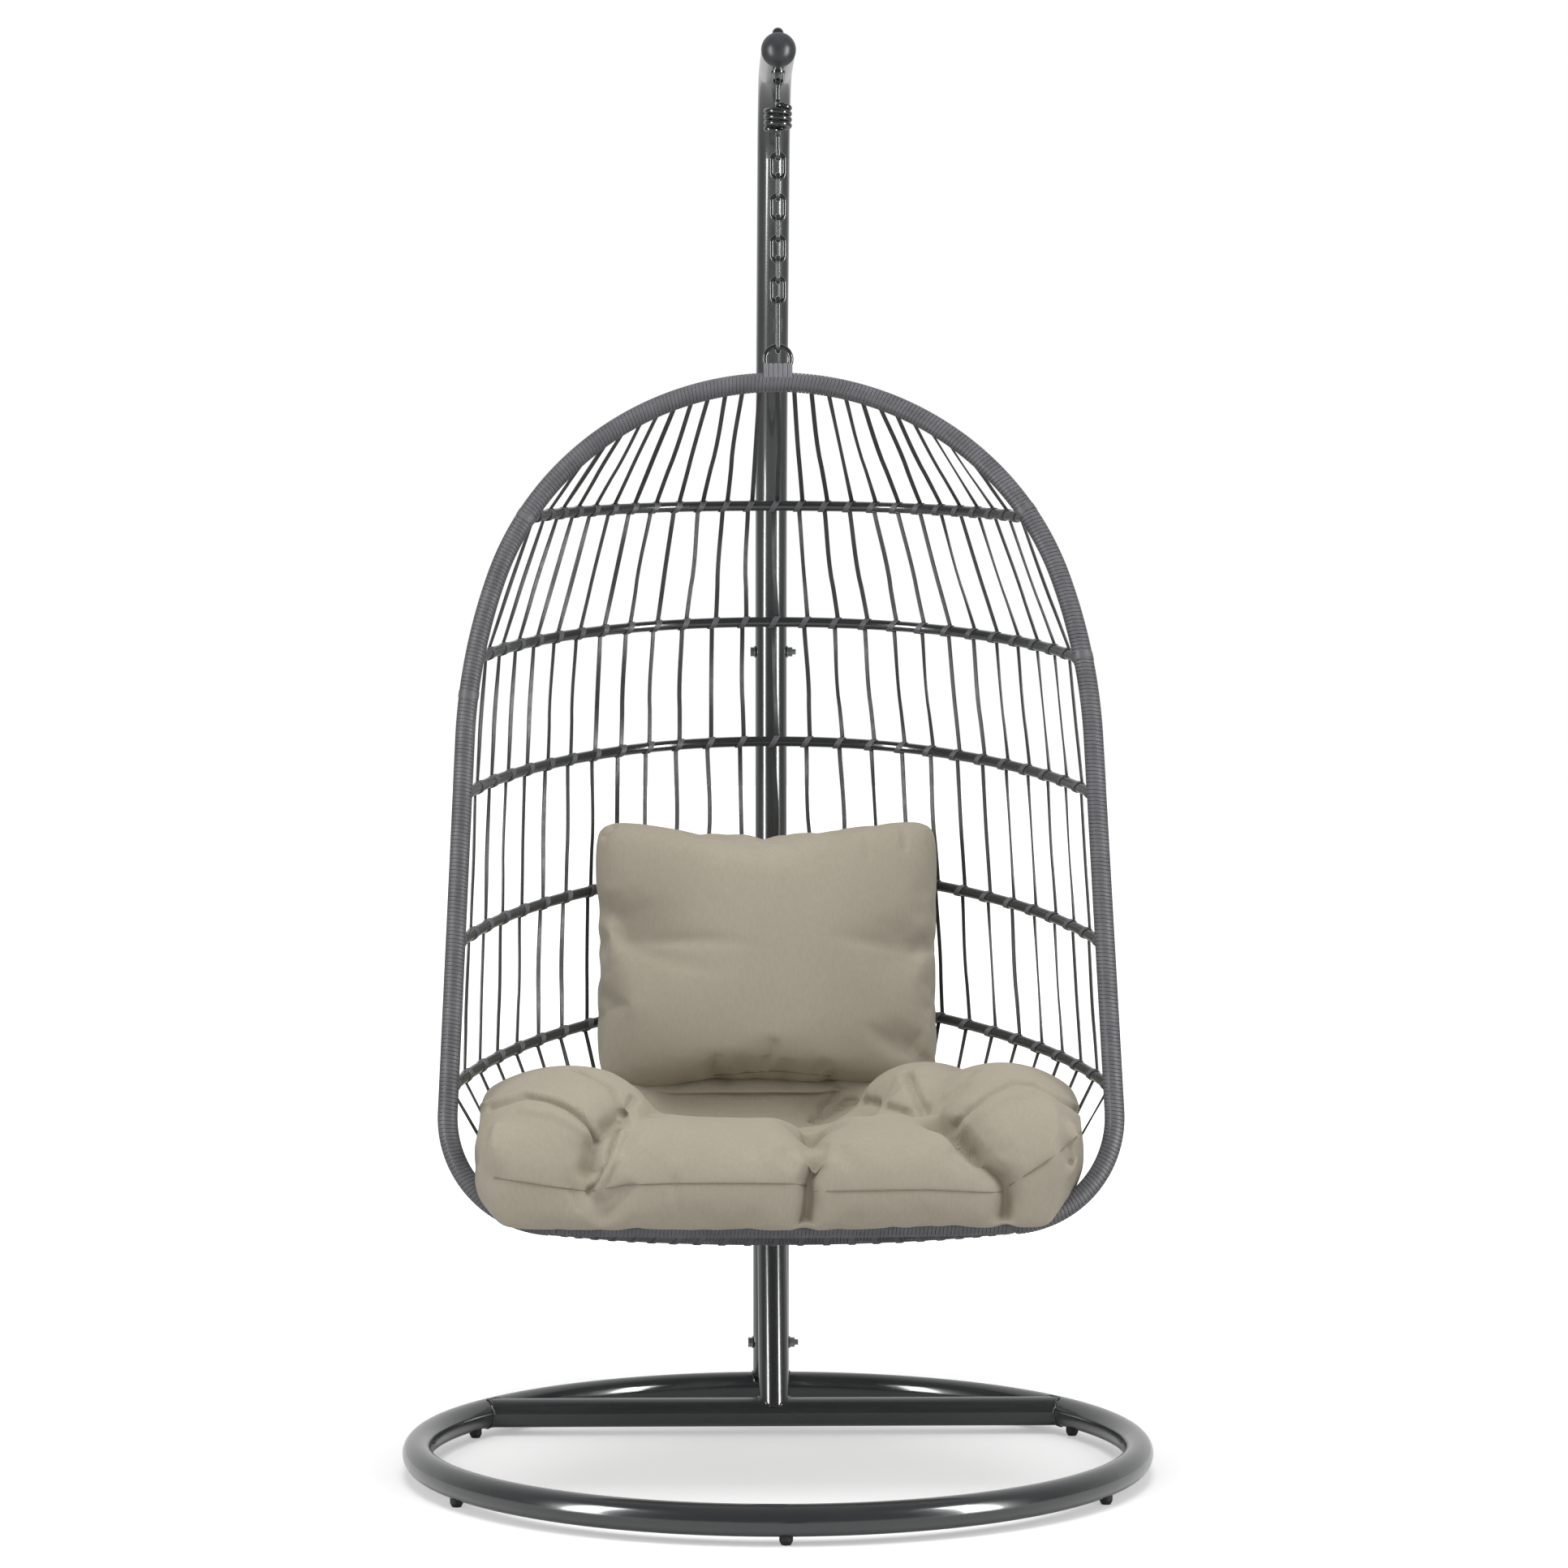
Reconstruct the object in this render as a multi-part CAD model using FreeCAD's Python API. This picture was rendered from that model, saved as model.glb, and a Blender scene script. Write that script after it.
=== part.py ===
import FreeCAD, Part
import math
import os
from FreeCAD import Vector

# Hanging egg chair: a ring base with a curved post, and a basket that hangs from it.
# Millimetres. Origin on the floor under the middle of the base ring.
# +Z is up, and the basket opens towards -Y.

os.makedirs("parts", exist_ok=True)

# Base
ring_outer_d = 1000.0
ring_tube_d = 40.0
ring_wall = 2.0
ring_floor_gap = 10.0
bar_y = 264.0
glide_count = 6
glide_d = 17.0
glide_sole_d = 12.0
glide_hole_d = 8.0
glide_stem_h = 14.0

# Post
post_d = 45.0
post_wall = 2.0
post_inset = 6.0
post_joint_z = 1015.0
socket_wall = 3.0
socket_top_z = 500.0
socket_lap = 4.0
brace_d = 42.0
brace_lean = 26.8
sleeve_wall = 2.5
sleeve_half_length = 125.0
bend_start_rise = 115.0
bend_radius = 900.0
bend_angle = 20.0
elbow_radius = 150.0
arm_z = 1883.0
ball_d = 46.0
ball_y = -40.0
ball_stub_h = 4.0
sliding_gap = 0.5

# Bolts
bolt_d = 8.0
bolt_gap = 0.5
head_across_flats = 13.0
head_h = 5.5
nut_h = 6.5
bolt_tail = 5.0
washer_d = 17.0
top_washer_d = 25.0
washer_t = 1.6
socket_bolt_z = 94.0
joint_bolt_rise = 78.0

# Eye bolt under the arm
eye_wire_d = 4.5
eye_gap = 7.8
eye_drop = 20.5
eye_plate_d = 20.0
eye_plate_t = 2.5
dome_d = 15.0
dome_h = 11.0

# Spring
spring_wire_d = 7.1
spring_mean_d = 30.4
spring_pitch = 7.8
spring_full_turns = 3.5
spring_shank = 16.7
spring_lower_shank = 20.3
spring_lead_r = 8.0
hook_r = 7.6
hook_tip = 3.0

# Chain
link_wire_d = 6.0
link_length = 39.6
link_width = 23.0
link_count = 7
link_gap = 0.3
quick_wire_d = 6.5
quick_length = 77.2
quick_width = 26.0
sleeve_nut_flats = 11.0
sleeve_nut_h = 18.0
quick_mouth = 10.0

# Rim of the basket, one flat loop that leans back at the top
rim_lean = 13.5
rim_tube_d = 22.0
rim_tube_wall = 1.5
rim_wrap_d = 26.0
rim_top_r = 390.5
rim_top_angle = 71.5
rim_shoulder_r = 769.0
rim_side_flare = 2.0
rim_side_length = 490.0
rim_corner_r = 139.5
rim_bottom_r = 12000.0
vent_d = 5.0

# Hanging ring on the rim
hanger_wire_d = 7.0
hanger_d = 41.5
saddle_width = 38.0
saddle_depth = 24.0
saddle_top_gap = 11.0
saddle_round = 4.0

# Hoops: how far each end on the rim is below its top, and how far each one goes back
hoop_d = 14.0
hoop_wall = 1.5
hoop_tilts = [5.5, 8.8, 9.3, 10.1, 10.2]
hoop_drops = [182.0, 369.0, 546.0, 737.0, 919.0]
hoop_depths = [277.0, 348.0, 398.0, 427.0, 446.0]
hoop_middle_angle = 40.0
hoop_end_angle = 78.0
seat_hoop_d = 14.0
seat_hoop_wrap_d = 20.0
seat_hoop_half_width = 320.0
seat_hoop_depth = 310.0
seat_hoop_fall = 11.5

# Strands
strand_count = 27
strand_width = 6.0
strand_t = 2.2
strand_shortest = 10.0

# Seat cushion: heights above its underside, and the places along X of its lobes, creases and tufts
cushion_gap = 3.0
seat_overhang = 30.0
seat_side_gap = 10.0
seat_end_x = 381.0
seat_end_depth = 34.0
seat_end_lift = 12.0
seat_corner = 100.0
seat_rib_count = 30
seat_front_top_h = 105.0
seat_back_top_h = 118.0
seat_crown = 16.0
seat_lobe_rise = 54.0
seat_lobe_width = 80.0
seat_lobes = [-258.0, 300.0]
seat_front_bulge = 14.0
seat_creases = [-228.0, 42.0, 252.0]
seat_crease_width = 24.0
seat_crease_inset = 22.0
seat_crease_drop = 26.0
seat_tufts = [(-228.0, -215.0), (42.0, -210.0), (252.0, -215.0), (-95.0, -70.0), (135.0, -75.0)]
tuft_r = 38.0
tuft_depth = 15.0

# Back pillow: each cross-section's place from the middle, with what is off its height and its thickness
pillow_low_h = 134.0
pillow_height = 357.0
pillow_lean = 8.5
pillow_back_gap = 41.0
pillow_edge_t = 18.0
pillow_stations = [0.0, 130.0, 200.0, 232.0]
pillow_drawn_in = [8.0, 0.0, 4.0, 22.0]
pillow_thickness = [138.0, 122.0, 72.0, 20.0]
pillow_forward = [0.0, 2.0, 18.0, 30.0]

X = Vector(1, 0, 0)
Y = Vector(0, 1, 0)
Z = Vector(0, 0, 1)


def radians(degrees):
    return degrees * math.pi / 180.0


def save(name, shape):
    shape.exportStep("parts/" + name + ".step")
    solids = len(shape.Solids)
    print(f"{name}: solids {solids} valid {shape.isValid()} volume {shape.Volume:.0f}")


def group(shapes):
    return Part.makeCompound(shapes)


def biggest(shape):
    return max(shape.Solids, key=lambda solid: solid.Volume)


class Arc:
    """A round stretch: a turn about centre from the unit vector `out` towards `along`."""

    def __init__(self, centre, out, along, radius, start, end):
        self.centre = centre
        self.out = out
        self.along = along
        self.radius = radius
        self.start = start
        self.end = end
        self.length = radius * abs(end - start)

    def at(self, share):
        angle = self.start + (self.end - self.start) * share
        return self.centre + (self.out * math.cos(angle) + self.along * math.sin(angle)) * self.radius

    def edge(self):
        return Part.Arc(self.at(0.0), self.at(0.5), self.at(1.0)).toShape()


class Line:
    """A straight stretch."""

    def __init__(self, first, last):
        self.first = first
        self.last = last
        self.length = (last - first).Length

    def at(self, share):
        return self.first + (self.last - self.first) * share

    def edge(self):
        return Part.LineSegment(self.first, self.last).toShape()


class Path:
    """Straight and round stretches, end to end."""

    def __init__(self, pieces):
        self.pieces = pieces
        self.length = sum(piece.length for piece in pieces)

    def at(self, share):
        left = share * self.length
        for piece in self.pieces:
            if left <= piece.length:
                return piece.at(left / piece.length)
            left -= piece.length
        return self.pieces[-1].at(1.0)

    def direction(self, share):
        step = 0.002
        low = max(0.0, share - step)
        high = min(1.0, share + step)
        return (self.at(high) - self.at(low)).normalize()

    def wire(self):
        return Part.Wire([piece.edge() for piece in self.pieces])

    def rod(self, diameter):
        start = self.pieces[0].at(0.0)
        heading = (self.pieces[0].at(0.001) - start).normalize()
        circle = Part.Wire([Part.Circle(start, heading, diameter / 2).toShape()])
        return self.wire().makePipeShell([circle], True, False)

    def tube(self, diameter, wall):
        return self.rod(diameter).cut(self.rod(diameter - 2 * wall))


# Base ring, crossbar and glides
ring_r = (ring_outer_d - ring_tube_d) / 2
ring_z = ring_floor_gap + ring_tube_d / 2
ring_top = ring_floor_gap + ring_tube_d
post_y = ring_r - post_inset
ring_solid = Part.makeTorus(ring_r, ring_tube_d / 2, Vector(0, 0, ring_z))


def round_the_ring(shape):
    copies = []
    for i in range(glide_count):
        copy = shape.copy()
        copy.rotate(Vector(0, 0, 0), Z, 30.0 + 360.0 / glide_count * i)
        copies.append(copy)
    return copies


def base_ring():
    bore = Part.makeTorus(ring_r, ring_tube_d / 2 - ring_wall, Vector(0, 0, ring_z))
    hole = Part.makeCylinder(glide_hole_d / 2, ring_tube_d / 2, Vector(ring_r, 0, ring_floor_gap - 1))
    return ring_solid.cut(bore).cut(group(round_the_ring(hole)))


def floor_glides():
    sole = Part.makeCone(glide_sole_d / 2, glide_d / 2, ring_floor_gap / 2, Vector(ring_r, 0, 0))
    collar = Part.makeCylinder(glide_d / 2, ring_floor_gap, Vector(ring_r, 0, ring_floor_gap / 2))
    head = sole.fuse(collar).cut(ring_solid)
    stem_r = (glide_hole_d - sliding_gap) / 2
    stem = Part.makeCylinder(stem_r, glide_stem_h, Vector(ring_r, 0, ring_floor_gap / 2))
    return group(round_the_ring(head.fuse(stem).removeSplitter()))


def cross_bar():
    reach = math.sqrt(ring_r ** 2 - bar_y ** 2)
    path = Path([Line(Vector(-reach, bar_y, ring_z), Vector(reach, bar_y, ring_z))])
    return biggest(path.tube(ring_tube_d, ring_wall).cut(ring_solid))


# Rear socket, brace and posts
socket_bore_d = post_d + 2 * sliding_gap
socket_d = socket_bore_d + 2 * socket_wall


def drilled(shape, z, y, diameter):
    reach = socket_d
    drill = Part.makeCylinder(diameter / 2, 2 * reach, Vector(-reach, y, z), X)
    return shape.cut(drill)


def brace_path():
    lean = radians(brace_lean)
    foot = Vector(0, bar_y, ring_z)
    rise = (post_y - bar_y) / math.tan(lean)
    return Path([Line(foot, Vector(0, post_y, ring_z + rise))])


def rear_socket():
    path = Path([Line(Vector(0, post_y, ring_top - socket_lap), Vector(0, post_y, socket_top_z))])
    tube = biggest(path.tube(socket_d, socket_wall).cut(ring_solid))
    return drilled(tube, socket_bolt_z, post_y, bolt_d + bolt_gap)


def front_brace():
    bar = Part.makeCylinder(ring_tube_d / 2, ring_outer_d, Vector(-ring_outer_d / 2, bar_y, ring_z), X)
    column = Part.makeCylinder(socket_d / 2, post_joint_z, Vector(0, post_y, 0))
    return biggest(brace_path().tube(brace_d, ring_wall).cut(bar).cut(column))


def lower_post():
    tube = Path([Line(Vector(0, post_y, ring_top), Vector(0, post_y, post_joint_z))]).tube(post_d, post_wall)
    return drilled(tube, socket_bolt_z, post_y, bolt_d + bolt_gap)


def post_sleeve():
    low = Vector(0, post_y, post_joint_z - sleeve_half_length)
    high = Vector(0, post_y, post_joint_z + sleeve_half_length)
    tube = Path([Line(low, high)]).tube(post_d - 2 * post_wall - sliding_gap / 2, sleeve_wall)
    return drilled(tube, joint_bolt_z, post_y, bolt_d + bolt_gap)


joint_bolt_z = post_joint_z + joint_bolt_rise


def upper_post_path():
    turn = radians(bend_angle)
    start = Vector(0, post_y, post_joint_z)
    bend_start = start + Z * bend_start_rise
    bend = Arc(bend_start - Y * bend_radius, Y, Z, bend_radius, 0.0, turn)
    bend_end = bend.at(1.0)
    elbow_rise = elbow_radius * (1 - math.sin(turn))
    straight = (arm_z - elbow_rise - bend_end.z) / math.cos(turn)
    elbow_start = bend_end + (Z * math.cos(turn) - Y * math.sin(turn)) * straight
    elbow_centre = elbow_start - (Y * math.cos(turn) + Z * math.sin(turn)) * elbow_radius
    elbow = Arc(elbow_centre, Y, Z, elbow_radius, turn, math.pi / 2)
    arm_end = Vector(0, ball_y, arm_z)
    runs = [Line(start, bend_start), bend, Line(bend_end, elbow_start), elbow, Line(elbow.at(1.0), arm_end)]
    return Path(runs)


ball_solid = Part.makeSphere(ball_d / 2, Vector(0, ball_y, arm_z))
arm_bore_d = post_d - 2 * post_wall


def upper_post():
    tube = drilled(upper_post_path().tube(post_d, post_wall), joint_bolt_z, post_y, bolt_d + bolt_gap)
    eye_hole = Part.makeCylinder((bolt_d + bolt_gap) / 2, 2 * post_d, Vector(0, 0, arm_z - post_d))
    return biggest(tube.cut(eye_hole).cut(ball_solid))


def ball_cap():
    stub_d = arm_bore_d - sliding_gap / 2
    stub = Part.makeCylinder(stub_d / 2, ball_d / 2 + ball_stub_h, Vector(0, ball_y, arm_z), Y)
    return ball_solid.fuse(stub).removeSplitter()


# Bolts, nuts and washers
def hexagon(flats, height, base, axis):
    corner = flats / 2 / math.cos(math.pi / 6)
    side = Y if axis == X else X
    up = axis.cross(side)
    turns = [i * math.pi / 3 for i in range(7)]
    points = [base + (side * math.cos(t) + up * math.sin(t)) * corner for t in turns]
    return Part.Face(Part.makePolygon(points)).extrude(axis * height)


def cross_bolt(z, column_d):
    seat = column_d / 2
    head_side = Vector(-seat - washer_t, post_y, z)
    head = hexagon(head_across_flats, head_h, head_side - X * head_h, X)
    length = column_d + 2 * washer_t + nut_h + bolt_tail
    shank = Part.makeCylinder(bolt_d / 2, length, head_side, X)
    return head.fuse(shank).removeSplitter()


def cross_nut(z, column_d):
    base = Vector(column_d / 2 + washer_t, post_y, z)
    nut = hexagon(head_across_flats, nut_h, base, X)
    return nut.cut(Part.makeCylinder(bolt_d / 2, nut_h, base, X))


def cross_washers(z, column_d):
    washers = []
    for x in (-column_d / 2 - washer_t, column_d / 2):
        disc = Part.makeCylinder(washer_d / 2, washer_t, Vector(x, post_y, z), X)
        bore = Part.makeCylinder((bolt_d + bolt_gap) / 2, washer_t, Vector(x, post_y, z), X)
        washers.append(disc.cut(bore))
    return washers


def bolt_washers():
    top = Vector(0, 0, arm_z + post_d / 2)
    disc = Part.makeCylinder(top_washer_d / 2, washer_t, top)
    bore = Part.makeCylinder((bolt_d + bolt_gap) / 2, washer_t, top)
    side_washers = cross_washers(socket_bolt_z, socket_d) + cross_washers(joint_bolt_z, post_d)
    return group([disc.cut(bore)] + side_washers)


def dome_nut():
    base = Vector(0, 0, arm_z + post_d / 2 + washer_t)
    skirt = Part.makeCylinder(dome_d / 2, dome_h / 3, base)
    ball_r = ((dome_d / 2) ** 2 + (dome_h * 2 / 3) ** 2) / (2 * dome_h * 2 / 3)
    cap_centre = base + Z * (dome_h - ball_r)
    cap = Part.makeSphere(ball_r, cap_centre).common(
        Part.makeCylinder(dome_d, dome_h, base + Z * (dome_h / 3)))
    bore = Part.makeCylinder(bolt_d / 2, dome_h / 2, base)
    return skirt.fuse(cap).removeSplitter().cut(bore)


eye_bottom_z = arm_z - post_d / 2 - eye_drop


def eye_bolt():
    half = (eye_gap + eye_wire_d) / 2
    bow_centre = Vector(0, 0, eye_bottom_z + eye_wire_d / 2 + half)
    arm_under = arm_z - post_d / 2
    top = arm_under - eye_plate_t / 2
    bow = Arc(bow_centre, X, Z, half, math.pi, 2 * math.pi)
    left = Line(Vector(-half, 0, top), bow.at(0.0))
    right = Line(bow.at(1.0), Vector(half, 0, top))
    loop = Path([left, bow, right]).rod(eye_wire_d)
    plate = Part.makeCylinder(eye_plate_d / 2, eye_plate_t, Vector(0, 0, arm_under - eye_plate_t))
    shank_h = post_d + eye_plate_t + washer_t + dome_h / 2
    shank = Part.makeCylinder(bolt_d / 2, shank_h, Vector(0, 0, arm_under - eye_plate_t))
    return loop.fuse(plate).fuse(shank).removeSplitter()


# Spring: one wire, with a hook at each end and close turns between
def biarc(first, first_way, last, last_way):
    """Two tangent arcs from first to last, leaving along first_way and arriving along last_way."""
    first_way = Vector(first_way).normalize()
    last_way = Vector(last_way).normalize()
    gap = last - first
    both = first_way + last_way
    spread = 2 * (1 - first_way.dot(last_way))
    if spread < 1e-9:
        reach = gap.dot(gap) / (4 * gap.dot(last_way))
        if gap.cross(last_way).Length < 1e-6:
            return [Line(first, last)]
    else:
        reach = (-gap.dot(both) + math.sqrt(gap.dot(both) ** 2 + spread * gap.dot(gap))) / spread
    corner_a = first + first_way * reach
    corner_b = last - last_way * reach
    middle = (corner_a + corner_b) * 0.5
    return [arc_by_corner(first, corner_a, middle), arc_by_corner(middle, corner_b, last)]


def arc_by_corner(first, corner, last):
    """The arc that touches first-corner at first and corner-last at last."""
    into = (corner - first).normalize()
    chord = last - first
    side = chord - into * chord.dot(into)
    if side.Length < 1e-6:
        return Line(first, last)
    side.normalize()
    radius = chord.dot(chord) / (2 * chord.dot(side))
    centre = first + side * radius
    reach = last - centre
    sweep = math.atan2(reach.dot(into), -reach.dot(side))
    return Arc(centre, side * -1, into, radius, 0.0, sweep % (2 * math.pi))


coil_r = spring_mean_d / 2
hook_top_z = eye_bottom_z + eye_wire_d + link_gap + spring_wire_d / 2
coil_top_z = hook_top_z - hook_r - spring_shank - spring_lead_r
coil_bottom_z = coil_top_z - spring_pitch * (spring_full_turns + 1)
hook_bottom_z = coil_bottom_z - spring_lead_r - spring_lower_shank - hook_r


def spring_path():
    slope = spring_pitch / (2 * math.pi * coil_r)
    lead_slope = 2 * slope
    low_hook = hook_bottom_z + hook_r
    stations = [
        (Vector(0, -hook_r, hook_top_z - hook_r - hook_tip), Z),
        (Vector(0, -hook_r, hook_top_z - hook_r), Z),
        (Vector(0, 0, hook_top_z), Y),
        (Vector(0, hook_r, hook_top_z - hook_r), -Z),
        (Vector(0, hook_r, coil_top_z + spring_lead_r), -Z),
        (Vector(0, hook_r - spring_lead_r, coil_top_z), Vector(0, -1, -lead_slope)),
        (Vector(coil_r / 2, -coil_r / 2, coil_top_z - spring_pitch / 4), Vector(1, 0, -lead_slope)),
    ]
    for i in range(int(spring_full_turns * 4) + 1):
        turn = i * math.pi / 2
        z = coil_top_z - spring_pitch / 2 - spring_pitch * i / 4
        place = Vector(coil_r * math.cos(turn), coil_r * math.sin(turn), z)
        stations.append((place, Vector(-math.sin(turn), math.cos(turn), -slope)))
    stations += [
        (Vector(-coil_r / 2, -coil_r / 2, coil_bottom_z + spring_pitch / 4), Vector(1, 0, -lead_slope)),
        (Vector(0, hook_r - spring_lead_r, coil_bottom_z), Vector(0, 1, -lead_slope)),
        (Vector(0, hook_r, coil_bottom_z - spring_lead_r), -Z),
        (Vector(0, hook_r, low_hook), -Z),
        (Vector(0, 0, hook_bottom_z), -Y),
        (Vector(0, -hook_r, low_hook), Z),
        (Vector(0, -hook_r, low_hook + hook_tip), Z),
    ]
    pieces = []
    for (first, first_way), (last, last_way) in zip(stations, stations[1:]):
        pieces += biarc(first, first_way, last, last_way)
    return Path(pieces)


def report_spring(path):
    """Least bend radius, and least gap between stretches more than half a turn apart."""
    step = 0.8
    count = int(path.length / step)
    points = [path.at(i / count) for i in range(count + 1)]
    apart = int(math.pi * coil_r * 0.9 / step)
    pairs = [(i, j) for i in range(count + 1) for j in range(i + apart, count + 1)]
    least = min((points[i] - points[j]).Length for i, j in pairs)
    tightest = min(piece.radius for piece in path.pieces if isinstance(piece, Arc))
    gap = least - spring_wire_d
    print(f"spring: least gap {gap:.2f} tightest bend {tightest:.2f} length {path.length:.0f}")


# Chain
def stadium(length, width, wire_d, centre, side):
    """A link's centre line, long along Z and wide along side."""
    bow_r = (width - wire_d) / 2
    half = (length - wire_d) / 2 - bow_r
    top = centre + Z * half
    low = centre - Z * half
    upper = Arc(top, side, Z, bow_r, 0.0, math.pi)
    lower = Arc(low, side, Z, bow_r, math.pi, 2 * math.pi)
    return [upper, Line(upper.at(1.0), lower.at(0.0)), lower, Line(lower.at(1.0), upper.at(0.0))]


link_top_z = hook_bottom_z + spring_wire_d / 2 + link_gap + link_wire_d / 2
link_pitch = link_length - 2 * link_wire_d - link_gap


def link_top(i):
    """Height of the wire's centre at the top of link i."""
    return link_top_z - link_pitch * i


def chain_link(i):
    side = X if i % 2 == 0 else Y
    centre = Vector(0, 0, link_top(i) - (link_length - link_wire_d) / 2)
    return Path(stadium(link_length, link_width, link_wire_d, centre, side)).rod(link_wire_d)


last_link_bottom = link_top(link_count - 1) - (link_length - link_wire_d)
quick_top = last_link_bottom + link_wire_d / 2 + link_gap + quick_wire_d / 2
quick_bottom = quick_top - (quick_length - quick_wire_d)
quick_centre = Vector(0, 0, (quick_top + quick_bottom) / 2)


def quick_sleeve():
    centre = quick_centre + Y * ((quick_width - quick_wire_d) / 2)
    nut = hexagon(sleeve_nut_flats, sleeve_nut_h, centre - Z * (sleeve_nut_h / 2), Z)
    bore_d = quick_wire_d + sliding_gap / 2
    return nut.cut(Part.makeCylinder(bore_d / 2, sleeve_nut_h, centre - Z * (sleeve_nut_h / 2)))


def quick_link():
    loop = Path(stadium(quick_length, quick_width, quick_wire_d, quick_centre, Y)).rod(quick_wire_d)
    corner = quick_centre + Vector(-quick_wire_d, 0, -quick_mouth / 2)
    return loop.cut(Part.makeBox(2 * quick_wire_d, quick_width, quick_mouth, corner))


# Rim
class Outline:
    """Half of the rim's centre line, as x against the drop down the rim's own plane."""

    def __init__(self):
        turn = radians(rim_top_angle)
        side = math.pi / 2 - radians(rim_side_flare)
        self.top_end = rim_top_r * (1 - math.cos(turn))
        lead = rim_shoulder_r - rim_top_r
        self.shoulder = (-lead * math.sin(turn), rim_top_r + lead * math.cos(turn))
        self.shoulder_end = (self.shoulder[0] + rim_shoulder_r * math.sin(side),
                             self.shoulder[1] - rim_shoulder_r * math.cos(side))
        self.side_end = (self.shoulder_end[0] + rim_side_length * math.cos(side),
                         self.shoulder_end[1] + rim_side_length * math.sin(side))
        self.corner = (self.side_end[0] - rim_corner_r * math.sin(side),
                       self.side_end[1] + rim_corner_r * math.cos(side))
        rest = math.asin(self.corner[0] / (rim_bottom_r - rim_corner_r))
        self.corner_end = (self.corner[0] + rim_corner_r * math.sin(rest),
                           self.corner[1] + rim_corner_r * math.cos(rest))
        self.side = side
        self.turn = turn
        self.rest = rest
        self.bottom = self.corner[1] - (rim_bottom_r - rim_corner_r) * math.cos(rest) + rim_bottom_r

    def half_width(self, drop):
        if drop <= self.top_end:
            return math.sqrt(rim_top_r ** 2 - (rim_top_r - drop) ** 2)
        if drop <= self.shoulder_end[1]:
            return self.shoulder[0] + math.sqrt(rim_shoulder_r ** 2 - (self.shoulder[1] - drop) ** 2)
        if drop <= self.side_end[1]:
            past = drop - self.shoulder_end[1]
            return self.shoulder_end[0] + past / math.tan(self.side)
        return self.corner[0] + math.sqrt(rim_corner_r ** 2 - (drop - self.corner[1]) ** 2)

    def low_drop(self, x):
        if x > self.corner_end[0]:
            return self.corner[1] + math.sqrt(rim_corner_r ** 2 - (x - self.corner[0]) ** 2)
        return self.bottom - rim_bottom_r + math.sqrt(rim_bottom_r ** 2 - x ** 2)


outline = Outline()
hanger_r = (hanger_d - hanger_wire_d) / 2
hanger_centre_z = quick_bottom + quick_wire_d / 2 + link_gap + hanger_wire_d / 2 - hanger_r
rim_top_z = hanger_centre_z - hanger_r - rim_wrap_d / 2
lean = radians(rim_lean)
down = Vector(0, -math.sin(lean), -math.cos(lean))
rim_top = Vector(0, 0, rim_top_z)


def on_rim(x, drop):
    return rim_top + X * x + down * drop


def drop_below(height):
    return height / math.cos(lean)


def rim_pieces():
    """The whole rim, from the top and round by +X."""
    up = down * -1
    top = Arc(on_rim(0, rim_top_r), up, X, rim_top_r, -outline.turn, outline.turn)
    pieces = [top]
    lower = math.pi - outline.rest
    bottom_centre = on_rim(0, outline.bottom - rim_bottom_r)
    for sign in (1, -1):
        shoulder_centre = on_rim(sign * outline.shoulder[0], outline.shoulder[1])
        corner_centre = on_rim(sign * outline.corner[0], outline.corner[1])
        out = X * sign
        shoulder = Arc(shoulder_centre, up, out, rim_shoulder_r, outline.turn, outline.side)
        side = Line(on_rim(sign * outline.shoulder_end[0], outline.shoulder_end[1]),
                    on_rim(sign * outline.side_end[0], outline.side_end[1]))
        corner = Arc(corner_centre, up, out, rim_corner_r, outline.side, lower)
        if sign > 0:
            pieces += [shoulder, side, corner]
            pieces.append(Arc(bottom_centre, down, X, rim_bottom_r, outline.rest, -outline.rest))
        else:
            pieces += [Arc(corner_centre, up, out, rim_corner_r, lower, outline.side),
                       Line(side.last, side.first),
                       Arc(shoulder_centre, up, out, rim_shoulder_r, outline.side, outline.turn)]
    return pieces


rim_line = Path(rim_pieces())
rim_core = rim_line.rod(rim_tube_d)
rim_skin = rim_line.rod(rim_wrap_d)


def rim_tube():
    bore = rim_line.rod(rim_tube_d - 2 * rim_tube_wall)
    bottom = on_rim(0, outline.bottom)
    vent = Part.makeCylinder(vent_d / 2, rim_tube_d, bottom, Vector(0, 0, -1))
    return rim_core.cut(bore).cut(vent)


# Hanging ring and the saddle that holds it
saddle_top_z = rim_top_z + rim_wrap_d / 2 + saddle_top_gap


def hanger_saddle():
    base = Vector(-saddle_width / 2, -saddle_depth / 2, rim_top_z)
    block = Part.makeBox(saddle_width, saddle_depth, saddle_top_z - rim_top_z, base)
    rounded = block.makeFillet(saddle_round, [e for e in block.Edges if e.BoundBox.ZMax > rim_top_z + 1])
    return biggest(rounded.cut(rim_skin))


def hanger_ring():
    torus = Part.makeTorus(hanger_r, hanger_wire_d / 2, Vector(0, 0, hanger_centre_z), Y)
    return biggest(torus.cut(hanger_saddle()).cut(rim_skin))


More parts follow.
